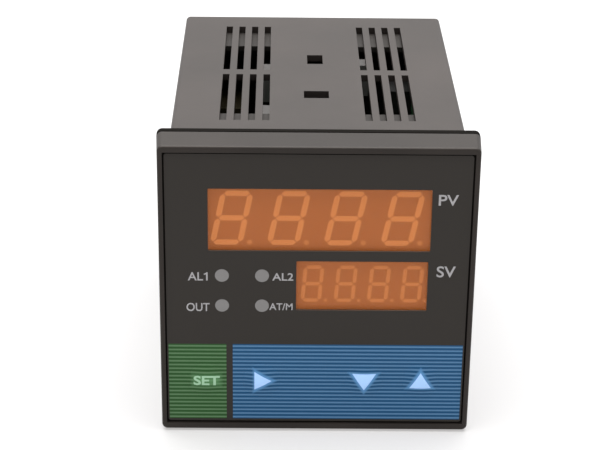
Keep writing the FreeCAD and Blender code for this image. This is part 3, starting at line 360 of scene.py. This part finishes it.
# ---------------------------------------------------------------- shared effects
def moulded_grain():
    """Fine spark-eroded grain with slow flow marks: a height, a tone and a gloss value."""
    group, given, result = effect("moulded_grain", {"Place": None, "Grain size": 0.25 * MM},
                                  ["Height", "Tone", "Gloss"])
    scale = sums(group, "DIVIDE", 1.0, given["Grain size"])
    fine = add(group, "ShaderNodeTexNoise", {"Vector": given["Place"], "Scale": scale,
                                             "Detail": 2.0, "Roughness": 0.6})
    slow = add(group, "ShaderNodeTexNoise", {"Vector": given["Place"], "Scale": 28.0,
                                             "Detail": 3.0, "Roughness": 0.55})
    group.links.new(fine.outputs[0], result.inputs["Height"])
    group.links.new(slow.outputs[0], result.inputs["Tone"])
    both = sums(group, "ADD", sums(group, "MULTIPLY", fine.outputs[0], 0.3),
                sums(group, "MULTIPLY", slow.outputs[0], 0.7))
    group.links.new(both, result.inputs["Gloss"])
    return group


def settled_dust():
    """A share of dust, strongest on faces that look up, broken up by noise."""
    group, given, result = effect("settled_dust", {"Place": None, "Amount": 0.2}, ["Share"])
    facing = parts(group, add(group, "ShaderNodeNewGeometry").outputs["Normal"])[2]
    specks = add(group, "ShaderNodeTexNoise", {"Vector": given["Place"], "Scale": 160.0,
                                               "Detail": 5.0, "Roughness": 0.7}).outputs[0]
    ups = sums(group, "MAXIMUM", facing, 0.0)
    share = sums(group, "MULTIPLY", sums(group, "MULTIPLY", ups, specks), given["Amount"])
    group.links.new(share, result.inputs["Share"])
    return group


def edge_shine():
    """A share that rises at rounded edges, where handling polishes moulded plastic."""
    group, given, result = effect("edge_shine", {"Width": 0.6 * MM}, ["Share"])
    soft = add(group, "ShaderNodeBevel", {"Radius": given["Width"]}, samples=4).outputs[0]
    flat = add(group, "ShaderNodeNewGeometry").outputs["True Normal"]
    alike = add(group, "ShaderNodeVectorMath", {0: soft, 1: flat}, operation="DOT_PRODUCT")
    share = sums(group, "MULTIPLY", sums(group, "SUBTRACT", 1.0, alike.outputs["Value"]), 6.0,
                 clamp=True)
    group.links.new(share, result.inputs["Share"])
    return group


def step_mask(group, value, softness):
    """0 below zero and 1 above it, turning over a softness either side."""
    spread = sums(group, "DIVIDE", value, sums(group, "MULTIPLY", softness, 2.0))
    return sums(group, "ADD", spread, 0.5, clamp=True)


def printed_box():
    """A printed rectangle: the least of the distances to its four sides, made a mask."""
    group, given, result = effect("printed_box", {"Place": None, "Left": 0.0, "Right": 0.0,
                                                  "Bottom": 0.0, "Top": 0.0,
                                                  "Softness": 0.04 * MM}, ["Mask"])
    across, _, up = parts(group, given["Place"])
    sides = sums(group, "MINIMUM", sums(group, "SUBTRACT", across, given["Left"]),
                 sums(group, "SUBTRACT", given["Right"], across))
    ends = sums(group, "MINIMUM", sums(group, "SUBTRACT", up, given["Bottom"]),
                sums(group, "SUBTRACT", given["Top"], up))
    inside = sums(group, "MINIMUM", sides, ends)
    group.links.new(step_mask(group, inside, given["Softness"]), result.inputs["Mask"])
    return group


def printed_stripes():
    """Even stripes: the distance along from each stripe's centre line, made a mask."""
    group, given, result = effect("printed_stripes", {"Along": 0.0, "First": 0.0, "Pitch": 1.0,
                                                      "Width": 0.5, "Softness": 0.12 * MM},
                                  ["Mask"])
    turns = sums(group, "DIVIDE", sums(group, "SUBTRACT", given["First"], given["Along"]),
                 given["Pitch"])
    away = sums(group, "ABSOLUTE", sums(group, "SUBTRACT", turns, sums(group, "ROUND", turns)))
    inside = sums(group, "SUBTRACT", sums(group, "DIVIDE", given["Width"], 2.0),
                  sums(group, "MULTIPLY", away, given["Pitch"]))
    group.links.new(step_mask(group, inside, given["Softness"]), result.inputs["Mask"])
    return group


def printed_arrow():
    """A printed triangle: past its base, and nearer its middle line than its narrowing side."""
    group, given, result = effect("printed_arrow", {"Along": 0.0, "Sideways": 0.0, "Base": 0.0,
                                                    "Tip": 1.0, "Half width": 1.0,
                                                    "Softness": 0.05 * MM}, ["Mask"])
    past = sums(group, "SUBTRACT", given["Along"], given["Base"])
    length = sums(group, "SUBTRACT", given["Tip"], given["Base"])
    left = sums(group, "DIVIDE", sums(group, "SUBTRACT", given["Tip"], given["Along"]), length)
    room = sums(group, "SUBTRACT", sums(group, "MULTIPLY", left, given["Half width"]),
                sums(group, "ABSOLUTE", given["Sideways"]))
    inside = sums(group, "MINIMUM", past, room)
    group.links.new(step_mask(group, inside, given["Softness"]), result.inputs["Mask"])
    return group


GRAIN = moulded_grain()
DUST = settled_dust()
SHINE = edge_shine()
BOX = printed_box()
STRIPES = printed_stripes()
ARROW = printed_arrow()


# ---------------------------------------------------------------- colours
# Colours of the print, and of painted glow: the lighter halos round the arrows and the word SET,
# and the light that the arrows give out.
PRINT_AND_PAINTED_GLOW = {"black": shown(44, 41, 38), "green": (shown(30, 80, 32), shown(92, 131, 91)),
         "blue": (shown(0, 75, 118), shown(86, 133, 176)), "arrow": shown(186, 228, 255),
         "painted arrow halo": shown(92, 152, 206), "painted word halo": shown(104, 160, 108),
         "painted arrow glow": (0.02, 0.03, 0.22, 1.0)}
WEAR = (0.25, 0.25, 0.25, 1.0)
WEAR_SHARE = 0.015
DUST_COLOUR = (0.42, 0.4, 0.37, 1.0)
WARM = (1.0, 0.93, 0.88, 1.0)
AMBER_DARK, AMBER_LIGHT = shown(188, 104, 47), shown(196, 112, 53)
PANE_ALPHA = 0.22
DISPLAY_DARK, DISPLAY_LIGHT = shown(173, 100, 44), shown(182, 107, 49)
# Painted glow: the display faces and their strokes give out light, though they are no lamp.
DISPLAY_PAINTED_GLOW, STROKE_PAINTED_GLOW = 0.28, 0.36
SMALL_DIGITS_SINK, POINTS_SINK = 0.36, 0.5
BOARD_SHADE = (0.01, 0.05, 0.02, 1)
BOARD_RESIST = (0.012, 0.085, 0.03, 1)
BOARD_TRACK = (0.05, 0.19, 0.07, 1)


# ---------------------------------------------------------------- finishes
def finish_shader(name, **constants):
    """A material whose shader has its plain numbers set on its own sockets."""
    material = bpy.data.materials.new(name)
    material.use_nodes = True
    shader = material.node_tree.nodes["Principled BSDF"]
    for label, value in constants.items():
        shader.inputs[label.replace("_", " ")].default_value = value
    return material, material.node_tree, shader


def bump(tree, shader, height, strength, distance):
    """Raise a shader's surface by a height that changes over it."""
    made = add(tree, "ShaderNodeBump", {"Height": height, "Strength": strength,
                                        "Distance": distance})
    tree.links.new(made.outputs[0], shader.inputs["Normal"])


def moulded_plastic(name, colour, roughness, grain=0.25 * MM, depth=0.012 * MM, dust=0.0,
                    shine=0.0, tone=0.12, index=1.5, sheen=(1, 1, 1, 1)):
    """Spark-eroded moulded plastic: grain, slow tone changes, polished edges and a little dust."""
    material, tree, shader = finish_shader(name, IOR=index, Specular_Tint=sheen)
    where = place(tree)
    marks = use(tree, GRAIN, {"Place": where, "Grain size": grain})
    lighter = tuple(min(1.0, c * (1 + tone) + 0.002) for c in colour[:3]) + (1.0,)
    darker = tuple(c * (1 - tone) for c in colour[:3]) + (1.0,)
    base = blended(tree, marks["Tone"], darker, lighter)
    if dust:
        share = use(tree, DUST, {"Place": where, "Amount": dust})["Share"]
        base = blended(tree, share, base, DUST_COLOUR)
    tree.links.new(base, shader.inputs["Base Color"])
    rough = sums(tree, "ADD", roughness - 0.06, sums(tree, "MULTIPLY", marks["Gloss"], 0.12))
    if shine:
        share = use(tree, SHINE)["Share"]
        rough = sums(tree, "SUBTRACT", rough, sums(tree, "MULTIPLY", share, shine))
    tree.links.new(rough, shader.inputs["Roughness"])
    bump(tree, shader, marks["Height"], 0.6, depth)
    return material


def plated_metal(name, colour, roughness):
    """Bright plate: fine grain, a slightly uneven tone and a slightly uneven gloss."""
    material, tree, shader = finish_shader(name, Metallic=1.0)
    where = place(tree)
    marks = use(tree, GRAIN, {"Place": where, "Grain size": 0.12 * MM})
    base = blended(tree, marks["Tone"], tuple(c * 0.86 for c in colour[:3]) + (1.0,), colour)
    tree.links.new(base, shader.inputs["Base Color"])
    rough = sums(tree, "ADD", roughness - 0.08, sums(tree, "MULTIPLY", marks["Gloss"], 0.2))
    tree.links.new(rough, shader.inputs["Roughness"])
    bump(tree, shader, marks["Height"], 0.3, 0.006 * MM)
    return material


def striped_fields(tree, where):
    """The black ground with the green and the blue striped field on it."""
    up = parts(tree, where)[2]
    stripes = use(tree, STRIPES, {"Along": up, "First": MIDDLE + FIRST_STRIPE,
                                  "Pitch": STRIPE_PITCH, "Width": STRIPE_WIDTH})["Mask"]
    base = PRINT_AND_PAINTED_GLOW["black"]
    for field, (left, right) in FIELDS.items():
        inside = use(tree, BOX, {"Place": where, "Left": left, "Right": right,
                                 "Bottom": MIDDLE + FIELD_BOTTOM,
                                 "Top": MIDDLE + FIELD_TOP})["Mask"]
        base = blended(tree, inside, base, blended(tree, stripes, *PRINT_AND_PAINTED_GLOW[field]))
    return base


def key_arrow(tree, where, key):
    """The masks of a key's arrow and of the painted glow round it, a lighter soft halo.

    The shift arrow points to the right, and the others up and down.
    """
    across, _, up = parts(tree, where)
    x, z = KEY_PLACES[key]
    along, centre, sideways, level = (across, x, up, z) if key == "shift" else (up, z, across, x)
    way = -1 if key == "down" else 1
    base, tip, half = ARROWS[key]
    drawn = {"Along": sums(tree, "MULTIPLY", sums(tree, "SUBTRACT", along, centre), way),
             "Sideways": sums(tree, "SUBTRACT", sideways, level)}
    # The halo is painted glow round the arrow.
    halo = use(tree, ARROW, drawn | {"Base": base - PAINTED_ARROW_HALO["behind"],
                                     "Tip": tip + PAINTED_ARROW_HALO["ahead"],
                                     "Half width": half + PAINTED_ARROW_HALO["beside"],
                                     "Softness": PAINTED_ARROW_HALO["softness"]})["Mask"]
    arrow = use(tree, ARROW, drawn | {"Base": base, "Tip": tip, "Half width": half,
                                      "Softness": ARROW_SOFTNESS})["Mask"]
    return arrow, sums(tree, "MULTIPLY", halo, PAINTED_ARROW_HALO["share"])


def painted_word_glow(tree, where):
    """The mask of the painted glow round the word SET, a lighter soft halo."""
    left, right, bottom, top = legend_bounds("legend_set")
    halo = use(tree, BOX, {"Place": where, "Left": left, "Right": right, "Bottom": bottom,
                           "Top": top, "Softness": PAINTED_WORD_HALO["softness"]})["Mask"]
    return sums(tree, "MULTIPLY", halo, PAINTED_WORD_HALO["share"])


def printed_film():
    """The overlay's print: black ground, striped fields and arrows, with painted glow round some
    marks.

    The painted glow is lighter halos round the arrows and the word SET, and light that the arrows
    give out though they are no lamp.
    """
    material, tree, shader = finish_shader("printed_film", IOR=1.32, Specular_Tint=WARM,
                                           Emission_Strength=1.0)
    where = place(tree)
    base = striped_fields(tree, where)
    glow = (0, 0, 0, 1)
    for key in ARROWS:
        arrow, surround = key_arrow(tree, where, key)
        base = blended(tree, surround, base, PRINT_AND_PAINTED_GLOW["painted arrow halo"])
        base = blended(tree, arrow, base, PRINT_AND_PAINTED_GLOW["arrow"])
        glow = blended(tree, arrow, glow, PRINT_AND_PAINTED_GLOW["painted arrow glow"])
    # Painted glow: a lighter halo round the word SET.
    base = blended(tree, painted_word_glow(tree, where), base, PRINT_AND_PAINTED_GLOW["painted word halo"])
    tree.links.new(glow, shader.inputs["Emission Color"])
    marks = use(tree, GRAIN, {"Place": where, "Grain size": 0.16 * MM})
    worn = sums(tree, "MULTIPLY", marks["Tone"], WEAR_SHARE)
    base = blended(tree, worn, base, WEAR)
    tree.links.new(base, shader.inputs["Base Color"])
    rough = sums(tree, "ADD", 0.34, sums(tree, "MULTIPLY", marks["Gloss"], 0.14))
    tree.links.new(rough, shader.inputs["Roughness"])
    bump(tree, shader, marks["Height"], 0.5, 0.006 * MM)
    return material


def amber_pane():
    """Clear tinted pane: partly see-through amber with a smooth gloss and faint moulding waves."""
    material, tree, shader = finish_shader("amber_pane", Roughness=0.18)
    where = place(tree)
    marks = use(tree, GRAIN, {"Place": where, "Grain size": 3 * MM})
    base = blended(tree, marks["Tone"], AMBER_DARK, AMBER_LIGHT)
    tree.links.new(base, shader.inputs["Base Color"])
    clear = sums(tree, "ADD", PANE_ALPHA - 0.02, sums(tree, "MULTIPLY", marks["Tone"], 0.04))
    tree.links.new(clear, shader.inputs["Alpha"])
    bump(tree, shader, marks["Height"], 0.2, 0.01 * MM)
    return material


def fainter_marks(tree, where):
    """How far marks sink into their face: the small digits by about a third, points by half."""
    across, _, up = parts(tree, where)
    low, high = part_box("sv_segments")
    small = use(tree, BOX, {"Place": where, "Left": low[0], "Right": high[0], "Bottom": low[2],
                            "Top": high[2]})["Mask"]
    share = sums(tree, "MULTIPLY", small, SMALL_DIGITS_SINK)
    for name, (first, pitch, width) in POINTS.items():
        low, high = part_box(f"{name}_segments")
        column = use(tree, STRIPES, {"Along": across, "First": first, "Pitch": pitch,
                                     "Width": width, "Softness": 0.05 * MM})["Mask"]
        foot = use(tree, BOX, {"Place": where, "Left": low[0], "Right": high[0],
                               "Bottom": low[2], "Top": low[2] + width})["Mask"]
        point = sums(tree, "MULTIPLY", column, foot)
        share = sums(tree, "MAXIMUM", share, sums(tree, "MULTIPLY", point, POINTS_SINK))
    return share


def display_face(name, dark, light, glow, marked=False):
    """Orange module face, a little uneven in tone, that gives out its own colour as painted glow.
    """
    material, tree, shader = finish_shader(name, Emission_Strength=glow)
    where = place(tree)
    marks = use(tree, GRAIN, {"Place": where, "Grain size": 0.3 * MM})
    base = blended(tree, marks["Tone"], dark, light)
    if marked:
        base = blended(tree, fainter_marks(tree, where), base, DISPLAY_LIGHT)
    tree.links.new(base, shader.inputs["Base Color"])
    # The face's own colour is given out as painted light.
    tree.links.new(base, shader.inputs["Emission Color"])
    rough = sums(tree, "ADD", 0.5, sums(tree, "MULTIPLY", marks["Gloss"], 0.2))
    tree.links.new(rough, shader.inputs["Roughness"])
    bump(tree, shader, marks["Height"], 0.2, 0.01 * MM)
    return material


def circuit_board():
    """Green solder resist over copper tracks: brick-like runs that show as raised lighter lines."""
    material, tree, shader = finish_shader("circuit_board", Roughness=0.35)
    where = place(tree)
    quarter_turn = (0, 1.5708, 0)
    turned_place = add(tree, "ShaderNodeMapping", {"Vector": where, "Rotation": quarter_turn})
    tracks = add(tree, "ShaderNodeTexBrick",
                 {"Vector": turned_place.outputs[0], "Scale": 90.0, "Mortar Size": 0.09,
                  "Brick Width": 1.7, "Row Height": 0.32})
    marks = use(tree, GRAIN, {"Place": where, "Grain size": 0.4 * MM})
    base = blended(tree, tracks.outputs["Fac"], BOARD_RESIST, BOARD_TRACK)
    base = blended(tree, sums(tree, "MULTIPLY", marks["Tone"], 0.3), base, BOARD_SHADE)
    tree.links.new(base, shader.inputs["Base Color"])
    bump(tree, shader, tracks.outputs["Fac"], 0.5, 0.035 * MM)
    return material


FINISH = {
    "bezel_plastic": moulded_plastic("bezel_plastic", (0.017, 0.0135, 0.0115), 0.42, shine=0.08,
                                     tone=0.5, index=1.36, sheen=WARM),
    "case_plastic": moulded_plastic("case_plastic", (0.026, 0.0205, 0.0185), 0.45, dust=0.02,
                                    tone=0.5, index=1.42, sheen=WARM),
    "gasket_rubber": moulded_plastic("gasket_rubber", (0.008, 0.007, 0.006), 0.8, index=1.08),
    "printed_film": printed_film(),
    "film_cut_edge": moulded_plastic("film_cut_edge", (0.17, 0.125, 0.095), 0.4),
    "white_print": moulded_plastic("white_print", shown(174, 172, 174), 0.5, tone=0.04),
    "green_print": moulded_plastic("green_print", shown(168, 212, 175), 0.5, tone=0.04),
    "amber_pane": amber_pane(),
    "display_face": display_face("display_face", DISPLAY_DARK, DISPLAY_LIGHT, DISPLAY_PAINTED_GLOW),
    "led_strokes": display_face("led_strokes", shown(221, 143, 77), shown(229, 152, 85),
                                STROKE_PAINTED_GLOW, marked=True),
    "indicator_lens": moulded_plastic("indicator_lens", shown(134, 132, 131), 0.5, tone=0.06),
    "led_package": moulded_plastic("led_package", (0.75, 0.72, 0.62), 0.3),
    "key_plastic": moulded_plastic("key_plastic", (0.55, 0.55, 0.52), 0.5),
    "stem_plastic": moulded_plastic("stem_plastic", (0.03, 0.03, 0.03), 0.5),
    "switch_case": moulded_plastic("switch_case", (0.04, 0.04, 0.04), 0.4),
    "circuit_board": circuit_board(),
    "chip_resin": moulded_plastic("chip_resin", (0.02, 0.02, 0.02), 0.5),
    "frame_plastic": moulded_plastic("frame_plastic", (0.024, 0.021, 0.019), 0.55, index=1.36,
                                     sheen=WARM),
    "plated_steel": plated_metal("plated_steel", (0.62, 0.61, 0.58, 1.0), 0.32),
    "terminal_plastic": moulded_plastic("terminal_plastic", (0.02, 0.018, 0.017), 0.45, dust=0.02,
                                        index=1.42, sheen=WARM),
    "tinned_brass": plated_metal("tinned_brass", (0.72, 0.68, 0.58, 1.0), 0.35),
    "ferrite": moulded_plastic("ferrite", (0.06, 0.06, 0.065), 0.6, tone=0.25),
    "winding_tape": moulded_plastic("winding_tape", (0.05, 0.035, 0.012), 0.4),
    "relay_case": moulded_plastic("relay_case", (0.014, 0.013, 0.013), 0.5),
    "capacitor_sleeve": moulded_plastic("capacitor_sleeve", (0.03, 0.03, 0.05), 0.2),
    "suppressor_case": moulded_plastic("suppressor_case", (0.04, 0.03, 0.014), 0.5),
    "crystal_can": plated_metal("crystal_can", (0.7, 0.7, 0.68, 1.0), 0.25),
    # White nylon given a grey colour: painted shade for the dark inside of the case.
    "white_nylon": moulded_plastic("white_nylon", (0.21, 0.198, 0.19), 0.5),
    "converter_case": moulded_plastic("converter_case", (0.012, 0.011, 0.01), 0.5),
}


def dress_frame():
    """Give every CAD node the finish of its record slot."""
    for part in frame["record"]["subparts"]:
        shape = frame["nodes"][part["node"]]
        if not shape.material_slots:
            shape.data.materials.append(None)
        for slot in shape.material_slots:
            slot.material = FINISH[part["material_slot"]]


# ---------------------------------------------------------------- the overlay film
def film_outline(margin, corner):
    """The film's outline, a margin further out on every side."""
    return rounded_box(FILM_LOW[0] - margin, FILM_HIGH[0] + margin, FILM_LOW[2] - margin,
                       FILM_HIGH[2] + margin, corner)


def film_sheet():
    """The flat part of the film: a plate with two windows, four lens holes and four key holes."""
    outlines = [film_outline(0, FILM_CORNER)]
    for name in ("pv_pane", "sv_pane"):
        low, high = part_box(name)
        outlines.append(rounded_box(low[0] + PANE_LAP["left"], high[0] - PANE_LAP["right"],
                                    low[2] + PANE_LAP["bottom"], high[2] - PANE_LAP["top"],
                                    WINDOW_CORNER))
    outlines += [ring(centre_of(f"indicator_lens_{name}"), LENS_HOLE_RADIUS) for name in LENSES]
    outlines += [ring(KEY_PLACES[key], DOME_RADIUS) for key in KEYS]
    mesh = flat_shape("film_sheet", outlines, FILM_THICKNESS, FILM_BEVEL)
    piece = stand_up("film_sheet", mesh, upright_at((FILM_FRONT + FILM_BACK) / 2))
    settle(piece, "housing", FINISH["printed_film"])
    show_cut_edges(piece)
    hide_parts("overlay_film")


def show_cut_edges(piece):
    """Give the walls of the film's windows and holes the tone of its cut edge.

    They are the faces whose normal is nearly square to y, a millimetre or more inside the outline.
    """
    steepest = 0.3
    piece.data.materials.append(FINISH["film_cut_edge"])
    normals, centres = np.empty((2, len(piece.data.polygons) * 3))
    piece.data.polygons.foreach_get("normal", normals)
    piece.data.polygons.foreach_get("center", centres)
    centres = centres.reshape(-1, 3)
    inner = (centres > FILM_LOW + MM) & (centres < FILM_HIGH - MM)
    cut = (np.abs(normals.reshape(-1, 3)[:, 1]) < steepest) & inner[:, 0] & inner[:, 2]
    piece.data.polygons.foreach_set("material_index", cut.astype(np.int32))


def painted_groove_shade():
    """Painted shade in the groove round the film: a dark flat ring on the bezel's floor."""
    outlines = [film_outline(GROOVE_WIDTH, GROOVE_CORNER), film_outline(0, FILM_CORNER)]
    mesh = flat_shape("painted_groove_shade", outlines, PAINTED_SHADE_THICKNESS, PAINTED_SHADE_BEVEL)
    piece = stand_up("painted_groove_shade", mesh, upright_at(FILM_BACK - PAINTED_SHADE_THICKNESS / 2))
    settle(piece, "housing", FINISH["gasket_rubber"])


def dome_front(radius):
    """How far forward the film stands at a radius from a key's centre.

    The height is the rise times (1 - (radius / dome radius) squared) squared: level at the rim.
    """
    inside = np.clip(radius / DOME_RADIUS, 0, 1)
    return DOME_RISE * (1 - inside ** 2) ** 2


def key_dome(key):
    """One embossed key: the film's front and back skins carried round the key's axis.

    The rings' radii are the dome's radius times an even share to the power of 0.8.
    """
    radius = DOME_RADIUS * np.linspace(0, 1, DOME_RINGS) ** 0.8
    front = np.column_stack([radius, FILM_FRONT - dome_front(radius)])
    back_radius = radius[::-1]
    back = np.column_stack([back_radius, FILM_BACK - dome_front(back_radius)])
    points = turned(np.concatenate([front, back]), KEY_PLACES[key])
    rows, columns = points.shape[:2]
    piece = mesh_piece(f"{key}_key_dome", points, grid_faces(rows, columns), None,
                       FINISH["printed_film"])
    bend_with_key(piece)


def bend_with_key(piece):
    """Bake the piece's place into its points; it does not follow the key."""
    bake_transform(piece)


# ---------------------------------------------------------------- lettering
def words_mesh(name, words, bold):
    """Words as a flat mesh, their strokes widened by a share of the letter size."""
    curve = bpy.data.curves.new(name, "FONT")
    curve.body = words
    curve.size = 1.0
    curve.offset = bold
    curve.extrude = LETTER_THICKNESS / 2
    curve.resolution_u = 4
    return made_mesh(name, curve)


def numeral_one(name):
    """The figure 1 as a flat mesh: a stem with a sloping flag at its upper left."""
    outline = np.array([(0.44, 0.0), (0.44, 1.0), (0.3, 1.0), (0.22, 0.9), (0.0, 0.82),
                        (0.0, 0.68), (0.26, 0.76), (0.26, 0.0)])
    return flat_shape(name, [outline], LETTER_THICKNESS, LETTER_THICKNESS / 20)


def printed(name, mesh, bounds, material, surface):
    """Lay a flat mesh in a box on a surface: surface(x, z) gives the depth y it lies on.

    Where the surface stands forward of the print's mean, the print is set higher by a share of
    that, so that a word on a dome looks level from above.
    """
    left, right, bottom, top = bounds
    in_cells(mesh, LETTER_CELL)
    points = points_of(mesh)
    low, high = points.min(axis=0), points.max(axis=0)
    share = (points - low) / (high - low)

    def laid(_):
        x = left + share[:, 0] * (right - left)
        z = bottom + share[:, 1] * (top - bottom)
        depth = surface(x, z)
        lift = PRINT_LIFT * (depth.mean() - depth)
        return np.column_stack([x, depth - share[:, 2] * PRINT_DEPTH, z + lift])

    return settle(stand_up(name, mesh, laid), None, material)


def on_film(x, z):
    """The film's front, away from its domes."""
    return np.full_like(x, FILM_FRONT + PRINT_SUNK)


def on_set_dome(x, z):
    """The film's front over the SET key."""
    centre = KEY_PLACES["set"]
    return FILM_FRONT + PRINT_SUNK - dome_front(np.hypot(x - centre[0], z - centre[1]))


def legends():
    """The function legends beside the displays and indicators, and the word on the SET key."""
    for name, (words, *_) in LEGENDS.items():
        bounds = legend_bounds(name)
        on_key = name == "legend_set"
        bold = BOLD_ON_KEY if on_key else BOLD_ON_FILM
        mesh = numeral_one(name) if words == "1" else words_mesh(name, words, bold)
        material = FINISH["green_print" if on_key else "white_print"]
        piece = printed(name, mesh, bounds, material, on_set_dome if on_key else on_film)
        if on_key:
            bend_with_key(piece)
        else:
            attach(piece, "housing")


# ---------------------------------------------------------------- terminal screws
def screw_recess(radius, angle):
    """How deep a cross recess is at a point of the head: two crossed tapering slots."""
    x, z = radius * np.cos(angle), radius * np.sin(angle)
    half_width, half_length, depth = 0.42 * MM, 1.65 * MM, 1.1 * MM
    softness = 0.12 * MM

    def slot(along, sideways):
        end = np.clip((half_length - np.abs(along)) / (4 * softness), 0, 1)
        side = np.clip((half_width - np.abs(sideways)) / softness, 0, 1)
        return end * side

    return depth * np.maximum(slot(x, z), slot(z, x))


def terminal_screws():
    """Pan-head screws with crossed recesses, one surface of rings and angles for each terminal.

    A head's crown falls with the cube of the radius, and each screw is turned by its own angle.
    """
    low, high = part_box("terminal_screws")
    clamp_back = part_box("terminal_clamps")[1][1]
    head_radius, shank_radius = 2.7 * MM, 1.45 * MM
    crown_drop = 0.55 * MM
    screws_in_a_row = 10
    turn_step = 0.37
    first_level, last_level = low[2] + head_radius, high[2] - head_radius
    angle = np.linspace(0, 2 * np.pi, 48, endpoint=False)
    crown = np.linspace(0, 1, 16) ** 0.9
    head = np.column_stack([head_radius * crown, high[1] - crown_drop * crown ** 3])
    shank = [(head_radius, clamp_back), (shank_radius, clamp_back), (shank_radius, low[1]),
             (0, low[1])]
    rings = np.concatenate([head, shank])
    radius, depth = rings[:, :1] + 0 * angle, rings[:, 1:] + 0 * angle
    cut = screw_recess(radius, angle + 0 * radius)
    cut[len(crown):] = 0
    shape = np.stack([radius * np.cos(angle), depth - cut, radius * np.sin(angle)], axis=-1)
    rows, columns = radius.shape
    faces = grid_faces(rows, columns)
    points, quads = [], []
    for side in (-1, 1):
        for number, level in enumerate(np.linspace(first_level, last_level, screws_in_a_row)):
            turn = turn_step * number + side
            spun = shape.copy()
            spun[..., 0] = shape[..., 0] * np.cos(turn) - shape[..., 2] * np.sin(turn)
            spun[..., 2] = shape[..., 0] * np.sin(turn) + shape[..., 2] * np.cos(turn)
            across = side * (high[0] - head_radius)
            quads.append(faces + len(points) * rows * columns)
            points.append(spun + np.array([across, 0, level]))
    piece = mesh_piece("terminal_screw_heads", np.array(points), np.concatenate(quads), "housing",
                       FINISH["plated_steel"])
    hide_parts("terminal_screws")


# ---------------------------------------------------------------- stage
FLOOR_REACH = 8.0
FLOOR_COLOUR = (0.36, 0.36, 0.362, 1.0)
FLOOR_GLOW_COLOUR = (1.0, 0.978, 0.968, 1.0)
FLOOR_GLOW = 0.455
WORLD_LIGHT = 0.3
SOFTBOX_SIZE = 1.6
SOFTBOX_ENERGY = 41.0
SOFTBOX_PLACE = (-0.03, 0.16, 1.2)
CAMERA_LENS = 113.758
CAMERA_SENSOR = 36.0
CAMERA_AZIMUTH = 0.01311
CAMERA_ELEVATION = 0.42953
CAMERA_ROLL = 0.01246
CAMERA_PLACE = (-12.186 * MM, -517.061 * MM, 259.735 * MM)


def pale_floor():
    """A wide flat floor that gives back a little light of its own."""
    mesh = bpy.data.meshes.new("floor")
    corners = [(-FLOOR_REACH, -FLOOR_REACH, 0), (FLOOR_REACH, -FLOOR_REACH, 0),
               (FLOOR_REACH, FLOOR_REACH, 0), (-FLOOR_REACH, FLOOR_REACH, 0)]
    mesh.from_pydata(corners, [], [(0, 1, 2, 3)])
    floor = added("floor", mesh)
    material, _, shader = finish_shader("pale_floor", Roughness=0.9, Emission_Strength=FLOOR_GLOW)
    shader.inputs["Base Color"].default_value = FLOOR_COLOUR
    shader.inputs["Emission Color"].default_value = FLOOR_GLOW_COLOUR
    mesh.materials.append(material)


def white_surroundings():
    """A world that looks white and is mirrored white, and lights the rest only faintly."""
    world = bpy.data.worlds.new("studio")
    world.use_nodes = True
    bpy.context.scene.world = world
    tree = world.node_tree
    background = tree.nodes["Background"]
    paths = add(tree, "ShaderNodeLightPath").outputs
    seen = sums(tree, "MAXIMUM", paths["Is Camera Ray"], paths["Is Glossy Ray"])
    strength = sums(tree, "ADD", WORLD_LIGHT, sums(tree, "MULTIPLY", seen, 1.0 - WORLD_LIGHT))
    tree.links.new(strength, background.inputs["Strength"])
    background.inputs["Color"].default_value = (1, 1, 1, 1)


def overhead_softbox():
    """A wide soft lamp above the object, aimed at the middle of the floor."""
    lamp = bpy.data.lights.new("overhead_softbox", "AREA")
    lamp.energy = SOFTBOX_ENERGY
    lamp.shape = "SQUARE"
    lamp.size = SOFTBOX_SIZE
    holder = added("overhead_softbox", lamp)
    holder.matrix_world = look(SOFTBOX_PLACE, -np.array(SOFTBOX_PLACE), 0.0)


def front_camera():
    """The camera in front of the face and above it, its place taken from the face's middle."""
    camera = bpy.data.cameras.new("camera")
    camera.lens = CAMERA_LENS
    camera.sensor_width = CAMERA_SENSOR
    holder = added("camera", camera)
    level = np.cos(CAMERA_ELEVATION)
    direction = np.array([np.sin(CAMERA_AZIMUTH) * level, np.cos(CAMERA_AZIMUTH) * level,
                          -np.sin(CAMERA_ELEVATION)])
    spot = np.array([0, FRONT, MIDDLE]) + np.array(CAMERA_PLACE)
    holder.matrix_world = look(spot, direction, CAMERA_ROLL)
    bpy.context.scene.camera = holder
    bpy.context.scene.view_settings.view_transform = "Standard"


def look(spot, direction, roll):
    """A matrix at a spot whose -z looks along a direction, rolled about it."""
    ahead = np.array(direction) / np.linalg.norm(direction)
    right = np.cross(ahead, [0, 0, 1])
    right = right / np.linalg.norm(right)
    up = np.cross(right, ahead)
    matrix = np.eye(4)
    matrix[:3, 0] = right * np.cos(roll) + up * np.sin(roll)
    matrix[:3, 1] = up * np.cos(roll) - right * np.sin(roll)
    matrix[:3, 2] = -ahead
    matrix[:3, 3] = spot
    return Matrix(matrix.tolist())


dress_frame()
film_sheet()
painted_groove_shade()
for key in KEYS:
    key_dome(key)
legends()
terminal_screws()
pale_floor()
white_surroundings()
overhead_softbox()
front_camera()
